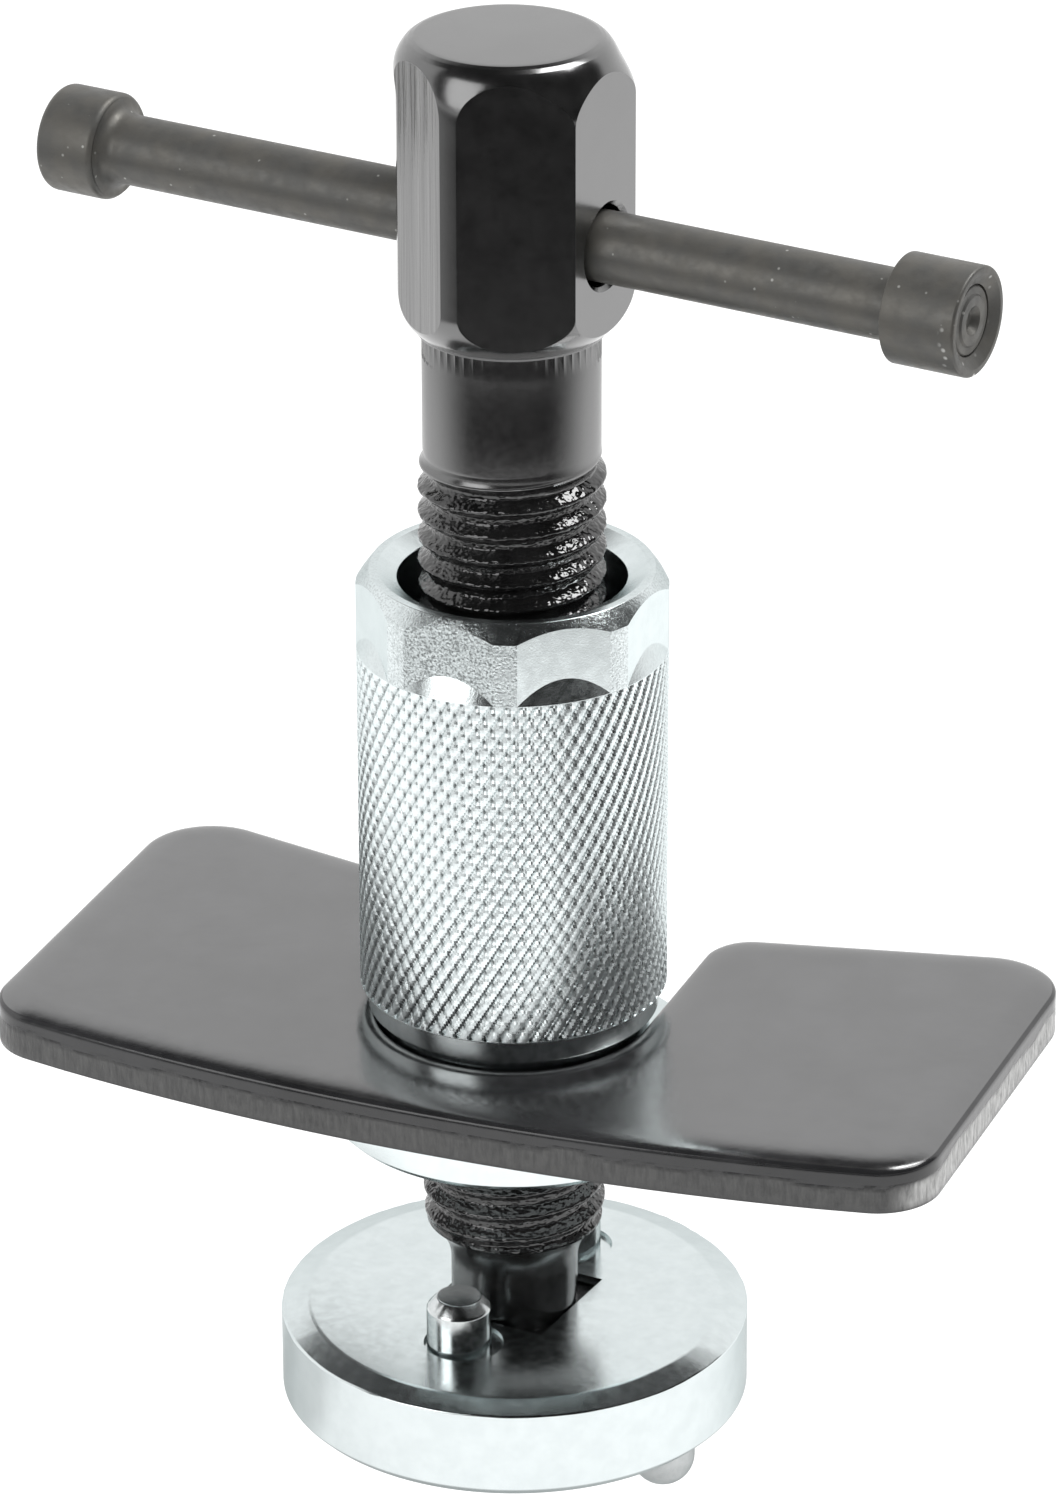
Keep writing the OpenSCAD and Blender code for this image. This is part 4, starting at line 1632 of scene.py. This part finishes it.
@dataclass
class ReactionPlate:
    """The punched plate: drawn in at its upper edge, burnished below it, then torn."""

    length: float = 97.4
    front: float = 24.1
    front_r: float = 228.0
    back: float = 18.4
    back_slope: float = 12.85
    slot_w: float = 27.2
    front_corner: float = 6.5
    bow_gap: float = 1.3
    back_corner: float = 7.0
    mouth_corner: float = 5.0
    roll_w: float = 3.8
    roll_h: float = 0.9
    burnish: float = 1.1
    spacing: float = 0.4
    torn_rows: int = 9
    tear_grain: float = 0.8
    tear_depth: float = 0.22
    tear_fade: float = 0.6
    wave_fineness: float = 0.17
    wave_h: float = 0.75
    ripple_fineness: float = 0.9
    ripple_h: float = 0.15
    burr_h: float = 0.05
    burr_fade: float = 0.5
    lit_end_len: float = 3.5
    lit_end_fade: float = 3.0

    def __post_init__(self) -> None:
        """Works the heights out from the frame."""
        self.foot = low("reaction_plate")
        self.top = high("reaction_plate")

    def front_y(self, x: float) -> float:
        """Place of the bowed front edge."""
        return self.front_r - self.front - math.sqrt(self.front_r**2 - x * x)

    def back_y(self, x: float) -> float:
        """Place of the sloping back edges."""
        return self.back + math.tan(math.radians(self.back_slope)) * abs(x)

    def outline(self) -> list[Vector]:
        """Points of the outline, anticlockwise, about evenly spaced."""
        end, slot = self.length / 2, self.slot_w / 2
        bow = round(self.length / self.spacing / 8)
        corners = [(Vector((-end, self.front_y(end))), self.front_corner)]
        for i in range(1, bow):
            x = self.length * (i / bow - 0.5)
            if abs(x) < end - self.bow_gap * self.front_corner:
                corners.append((Vector((x, self.front_y(x))), 0))
        corners += [
            (Vector((end, self.front_y(end))), self.front_corner),
            (Vector((end, self.back_y(end))), self.back_corner),
            (Vector((slot, self.back_y(slot))), self.mouth_corner),
        ]
        corners += [(Vector((slot * math.cos(a), -slot * math.sin(a))), 0) for a in
                    (math.pi * i / 48 for i in range(49))]
        corners += [
            (Vector((-slot, self.back_y(slot))), self.mouth_corner),
            (Vector((-end, self.back_y(end))), self.back_corner),
        ]
        points = []
        for i, (here, size) in enumerate(corners):
            before, after = corners[i - 1][0], corners[(i + 1) % len(corners)][0]
            points += round_corner(before, here, after, size, math.radians(5)) if size else [here]
        return self.even(points)

    def even(self, points: Sequence[Vector]) -> list[Vector]:
        """Adds points on the long stretches of a closed outline."""
        filled = []
        for here, there in zip(points, [*points[1:], points[0]]):
            count = max(1, round((there - here).length / self.spacing))
            filled += [here.lerp(there, i / count) for i in range(count)]
        return filled

    def boundary(self, point: Vector) -> float:
        """Height at which the burnished band ends and the tear begins."""
        place = Vector((point.x, point.y, 0)) / MM
        wave = self.wave_h * noise.noise(place * self.wave_fineness)
        ripple = self.ripple_h * noise.noise(place * self.ripple_fineness)
        return self.top - self.roll_h - self.burnish + wave + ripple

    def torn(self, point: Vector) -> float:
        """Share of the tear at a point of the side."""
        burr = ease((point.z / MM - self.foot - self.burr_h) / self.burr_fade)
        return ease((self.boundary(point) - point.z / MM) / self.tear_fade) * burr

    def lit_end(self, point: Vector) -> float:
        """Share of painted light on the torn side at a point: at the plate's right end, painted pale as if
        lit from the right.
        """
        return ease((point.x / MM - self.length / 2 + self.lit_end_len) / self.lit_end_fade)

    def is_side(self, point: Vector) -> bool:
        """Whether a point lies below the edge that is drawn in."""
        return point.z / MM < self.top - self.roll_h / 2

    def build(self) -> Piece:
        """Makes the plate: its outline, raised in rows and drawn in at the top."""
        line = [Vector((p.x, p.y, self.foot)) * MM for p in self.outline()]
        piece = draw("reaction_plate", line)
        rise = self.top - self.roll_h - self.foot
        rows = self.torn_rows + 2
        lift = (0, 0, rise / rows * MM)
        roll = [math.pi / 2 * i / 7 for i in range(8)]
        with edit(piece):
            bpy.ops.mesh.edge_face_add()
            for _ in range(rows):
                bpy.ops.mesh.extrude_region_move(TRANSFORM_OT_translate={"value": lift})
            for first, second in pairwise(roll):
                bpy.ops.mesh.inset(
                    thickness=self.roll_w * (math.cos(first) - math.cos(second)) * MM,
                    depth=self.roll_h * (math.sin(second) - math.sin(first)) * MM,
                    use_even_offset=True,
                )
            bpy.ops.mesh.select_all(action="SELECT")
            bpy.ops.mesh.normals_make_consistent(inside=False)
        mark(piece, "torn", self.torn)
        # Stores where painted light makes the torn side pale, at the plate's right end.
        mark(piece, "lit_end", self.lit_end)
        group_points(piece, "tear", self.torn)
        roughen(piece, self.tear_grain, self.tear_depth, "tear")
        smooth(piece, 38)
        return piece


@dataclass(frozen=True)
class Lamp:
    """A soft lamp that faces the tool.

    Attributes:
        name: Its name.
        sideways: Angle to the right of the camera, in degrees.
        up: Angle above the horizon, in degrees.
        far: Distance from the tool.
        size: Width and height.
        power: Power in watts.
        glossy: Whether it shows in reflections.
    """

    name: str
    sideways: float
    up: float
    far: float
    size: Span
    power: float
    glossy: bool = True


@dataclass
class Studio:
    """Camera, floor, lamps and dark cloths. Angles are in degrees and counted from the camera."""

    aim: tuple[float, float, float] = (1.664, 0.659, 69.62)
    azimuth: float = 21.6
    elevation: float = 24.866
    distance: float = 714.02
    roll: float = -0.127
    lens: float = 177.71
    sensor: float = 36.0
    floor_size: float = 6000.0
    floor_diffuse: float = 0.52
    floor_glow: float = 0.58
    sky_fill: float = 0.68
    cloth_colour: float = 0.012
    cloth_lift: float = 0.5
    table_start: float = 205.0
    table_step: float = 10.0
    table_rows: int = 130
    shade_start: float = 1.0
    shade_step: float = 2.0
    shade_rows: int = 50
    paper_r: float = 215.0
    paper_fade: float = 35.0
    table_side: float = 115.0
    table_fade: float = 70.0
    under_r: float = 36.0
    under_fade: float = 14.0
    under_dark: float = 0.42
    near_r: float = 95.0
    near_fade: float = 50.0
    near_dark: float = 0.13
    patch_r: float = 85.0
    patch_fade: float = 20.0
    patch_side: float = -100.0
    patch_half: float = 30.0
    patch_side_fade: float = 16.0
    patch_dark: float = 0.24
    room_r: float = 1500.0
    room_foot: float = 2.0
    room_rows: int = 44
    room_sides: Span = (-92.0, 125.0)
    room_side_fade: float = 20.0
    room_front: Span = (2.0, 7.0)
    room_back: Span = (38.0, 20.0)
    lamps: tuple[Lamp, ...] = (
        Lamp("left_softbox", -47, 24, 900, (520, 560), 2.2),
        Lamp("right_softbox", 104, 60, 900, (400, 420), 5.0),
        Lamp("overhead_softbox", 170, 72, 1000, (700, 500), 3.0, glossy=False),
    )

    def direction(self, sideways: float, up: float) -> Vector:
        """Direction from the tool, given by its angle to the right of the camera and above the horizon."""
        turn = math.radians(self.azimuth + sideways)
        rise = math.radians(up)
        return Vector((math.sin(turn) * math.cos(rise), -math.cos(turn) * math.cos(rise), math.sin(rise)))

    def camera(self) -> None:
        """Places the camera at the photograph's viewpoint."""
        data = bpy.data.cameras.new("camera")
        data.lens = self.lens
        data.sensor_width = self.sensor
        camera = bpy.data.objects.new("camera", data)
        bpy.context.scene.collection.objects.link(camera)
        back = self.direction(0, self.elevation)
        camera.location = (Vector(self.aim) + back * self.distance) * MM
        tilt = Quaternion((0, 0, 1), math.radians(self.roll))
        camera.rotation_mode = "QUATERNION"
        camera.rotation_quaternion = (-back).to_track_quat("-Z", "Y") @ tilt
        bpy.context.scene.camera = camera

    def hang(self, lamp: Lamp) -> None:
        """Adds a lamp."""
        data = bpy.data.lights.new(lamp.name, "AREA")
        data.shape = "RECTANGLE"
        data.size, data.size_y = (s * MM for s in lamp.size)
        data.energy = lamp.power
        light = bpy.data.objects.new(lamp.name, data)
        bpy.context.scene.collection.objects.link(light)
        way = self.direction(lamp.sideways, lamp.up)
        light.location = (Vector(self.aim) + way * lamp.far) * MM
        light.rotation_euler = way.to_track_quat("Z", "Y").to_euler()
        light.visible_camera = False
        light.visible_glossy = lamp.glossy

    def sideways(self, point: Vector) -> float:
        """Angle of a place to the right of the camera, from -180 to 180."""
        turn = math.degrees(math.atan2(point.x, -point.y)) - self.azimuth
        return (turn + 180) % 360 - 180

    def table_cover(self, point: Vector) -> float:
        """How dark the table is at a place: it begins in front of the white paper."""
        edge = ease((radius(point) - self.paper_r) / self.paper_fade)
        return edge * ease((self.table_side - abs(self.sideways(point))) / self.table_fade)

    def shade_cover(self, point: Vector) -> float:
        """Painted shadow on the white paper, seen only in reflections: how dark it is at a place, under the
        adapter, round it, and in a patch to its left.
        """
        r = radius(point)
        under = self.under_dark * ease((self.under_r - r) / self.under_fade)
        near = self.near_dark * ease((self.near_r - r) / self.near_fade)
        off = abs(self.sideways(point) - self.patch_side)
        patch = self.patch_dark * ease((self.patch_half - off) / self.patch_side_fade)
        return max(under, near + patch * ease((self.patch_r - r) / self.patch_fade))

    def room_cover(self, point: Vector) -> float:
        """How dark the room is at a place: low in front, high behind the white backdrop."""
        angle = self.sideways(point)
        left, right = self.room_sides
        front = ease((angle - left) / self.room_side_fade) * ease((right - angle) / self.room_side_fade)
        start, fade = Vector(self.room_back).lerp(Vector(self.room_front), front)
        rise = math.degrees(math.atan2(point.z, radius(point) * MM))
        return ease((rise - start) / fade)

    def cloth(
        self,
        name: str,
        line: Sequence[Corner],
        cover: Callable[[Vector], float],
        material: bpy.types.Material,
    ) -> None:
        """Adds a dark cloth round the tool that shows only in reflections.

        Args:
            name: Name of the cloth.
            line: Its section, from the axis out or from the floor up.
            cover: How dark it is at a place, from 0 to 1.
            material: The cloth's material.
        """
        cloth = lathe(name, line, 96)
        mark(cloth, "cover", cover)
        cloth.visible_camera = False
        cloth.visible_shadow = False
        cloth.visible_diffuse = False
        cloth.data.materials.append(material)

    def blank_material(self, name: str) -> tuple[bpy.types.Material, Wiring, Socket]:
        """Starts a material without a shader.

        Args:
            name: Name of the material.

        Returns:
            The material, its wiring and the socket that takes its shader.
        """
        material = bpy.data.materials.new(name)
        material.use_nodes = True
        material.node_tree.nodes.clear()
        wires = Wiring(material.node_tree)
        return material, wires, wires.add("ShaderNodeOutputMaterial").inputs["Surface"]

    def cloth_material(self) -> bpy.types.Material:
        """Black cloth, see-through where the piece stores a low "cover"."""
        material, wires, surface = self.blank_material("flag_cloth")
        cover = wires.add("ShaderNodeAttribute", attribute_name="cover")
        clear = wires.add("ShaderNodeBsdfTransparent")
        dark = wires.add("ShaderNodeBsdfDiffuse")
        dark.inputs["Color"].default_value = (*[self.cloth_colour] * 3, 1)
        share = wires.add("ShaderNodeMixShader")
        wires.link(cover.outputs["Fac"], share.inputs["Fac"])
        wires.link(clear.outputs["BSDF"], share.inputs[1])
        wires.link(dark.outputs["BSDF"], share.inputs[2])
        wires.link(share.outputs["Shader"], surface)
        return material

    def seen(self, wires: Wiring) -> Socket:
        """Mask that is 1 where the camera, a reflection or a refraction looks."""
        path = wires.add("ShaderNodeLightPath")
        total = path.outputs["Is Camera Ray"]
        for name in ("Is Glossy Ray", "Is Transmission Ray"):
            larger = wires.add("ShaderNodeMath", operation="MAXIMUM")
            wires.link(total, larger.inputs[0])
            wires.link(path.outputs[name], larger.inputs[1])
            total = larger.outputs["Value"]
        return total

    def travel(self) -> float:
        """How far the adapter can move down, in metres: the spindle's feed and the adapter's pull."""
        ways = ("spindle_feed", "adapter_pull")
        return sum(joint["range_m"][1] for joint in frame["joints"] if joint["name"] in ways)

    def floor(self) -> None:
        """Lays a pale floor below the adapter's travel, white to the camera, with the tool's shadow."""
        bpy.ops.mesh.primitive_plane_add(
            size=self.floor_size * MM, location=(0, 0, cad_box[0].z - self.travel())
        )
        floor = name_it("floor")
        material, wires, surface = self.blank_material("pale_floor")
        matt = wires.add("ShaderNodeBsdfDiffuse")
        matt.inputs["Color"].default_value = (*[self.floor_diffuse] * 3, 1)
        glow = wires.add("ShaderNodeEmission")
        strength = wires.add("ShaderNodeMath", operation="MULTIPLY")
        strength.inputs[1].default_value = self.floor_glow
        both = wires.add("ShaderNodeAddShader")
        wires.link(self.seen(wires), strength.inputs[0])
        wires.link(strength.outputs["Value"], glow.inputs["Strength"])
        wires.link(matt.outputs["BSDF"], both.inputs[0])
        wires.link(glow.outputs["Emission"], both.inputs[1])
        wires.link(both.outputs["Shader"], surface)
        floor.data.materials.append(material)

    def sky(self) -> None:
        """Surrounds the tool with white, which lights it at a plain level."""
        world = bpy.data.worlds.new("white_room")
        bpy.context.scene.world = world
        world.use_nodes = True
        wires = Wiring(world.node_tree)
        light = world.node_tree.nodes["Background"]
        light.inputs["Color"].default_value = (1, 1, 1, 1)
        level = wires.add("ShaderNodeMapRange", to_min=self.sky_fill, to_max=1.0)
        wires.link(self.seen(wires), level.inputs["Value"])
        wires.link(level.outputs["Result"], light.inputs["Strength"])

    def set_up(self) -> None:
        """Builds the studio."""
        self.camera()
        self.floor()
        self.sky()
        for lamp in self.lamps:
            self.hang(lamp)
        height = cad_box[0].z / MM + self.cloth_lift
        table = [Corner(self.table_start + self.table_step * i, height) for i in range(self.table_rows)]
        shade = [Corner(self.shade_start + self.shade_step * i, height) for i in range(self.shade_rows)]
        steps = range(self.room_rows + 1)
        rise = [math.radians(self.room_foot + (90 - self.room_foot) * i / self.room_rows) for i in steps]
        room = [Corner(self.room_r * math.cos(a), self.room_r * math.sin(a)) for a in rise]
        black = self.cloth_material()
        self.cloth("dark_table", table, self.table_cover, black)
        self.cloth("paper_shade", shade, self.shade_cover, black)
        self.cloth("dark_room", room, self.room_cover, black)
        bpy.context.scene.view_settings.view_transform = "Standard"


def main() -> None:
    """Builds, dresses and lights the tool."""
    logging.basicConfig(level=logging.INFO, format="%(message)s")
    effects = Effects(cloud_effect(), grain_effect(), speck_effect())
    zinc = Zinc("zinc_plate", (0.83, 0.89, 0.895), (0.785, 0.845, 0.85), 0.17, 0.25).material(effects)
    pin_zinc = Zinc("pin_zinc", (0.80, 0.825, 0.83), (0.66, 0.69, 0.69), 0.14, 0.24).material(effects)
    black = (0.007, 0.007, 0.007)
    lacquer = Lacquer("spindle_lacquer", black, 2.5, 0.19, 0.23).material(effects)
    thick = Lacquer("thread_lacquer", black, 1.75, 0.06, 0.09, lumps=0.2).material(effects)
    drawn = Lacquer("head_lacquer", black, 2.25, 0.18, 0.21, 0.002, lines=0.14, coat=0.6).material(effects)
    # The third colour is painted light: the pale torn side at the plate's right end.
    top_paint = PlatePaint(
        "plate_paint", (0.015, 0.015, 0.016), (0.09, 0.09, 0.088), (0.68, 0.68, 0.67), 2.55
    )
    side_paint = replace(top_paint, name="plate_side_paint", ior=1.62)
    steel = OiledSteel(
        "oiled_steel", (0.125, 0.124, 0.118), (0.15, 0.144, 0.13), (0.42, 0.42, 0.40)
    ).material(effects)
    nickel = Zinc("magnet_nickel", (0.62, 0.60, 0.56), (0.5, 0.48, 0.45), 0.18, 0.3).material(effects)

    spindle = Spindle()
    rod = spindle.build()
    hand_over(rod, "spindle", "spindle_paint", lacquer, "spindle")
    finish_part(rod, thick, spindle.is_thread)
    hand_over(spindle.build_head(), "spindle", "spindle_paint", drawn, "hex_head")
    bar = TommyBar()
    hand_over(bar.build(spindle), "bar", "oiled_steel", steel, "tommy_bar")
    hand_over(bar.build_collar(spindle), "bar", "oiled_steel", steel, "bar_end_collar")
    hand_over(ThrustNut().build(), "nut", "zinc_plate", zinc, "thrust_nut")
    plate = ReactionPlate()
    slab = plate.build()
    hand_over(slab, "plate", "plate_paint", top_paint.material(effects), "reaction_plate")
    finish_part(slab, side_paint.material(effects), plate.is_side)
    disc = AdapterDisc()
    hand_over(disc.build(), "adapter", "zinc_plate", zinc, "adapter_disc")
    for side, end in ((-1, "front"), (1, "rear")):
        name = f"upper_pin_{end}"
        hand_over(disc.build_upper_pin(name, side), "adapter", "pin_zinc", pin_zinc, name)
    for side, end in ((-1, "left"), (1, "right")):
        name = f"lower_pin_{end}"
        hand_over(disc.build_lower_pin(name, side), "adapter", "pin_zinc", pin_zinc, name)
    magnet = frame["nodes"]["adapter_magnet"]
    for place in magnet.material_slots:
        place.material = nickel
    Studio().set_up()


if __name__ == "__main__":
    main()
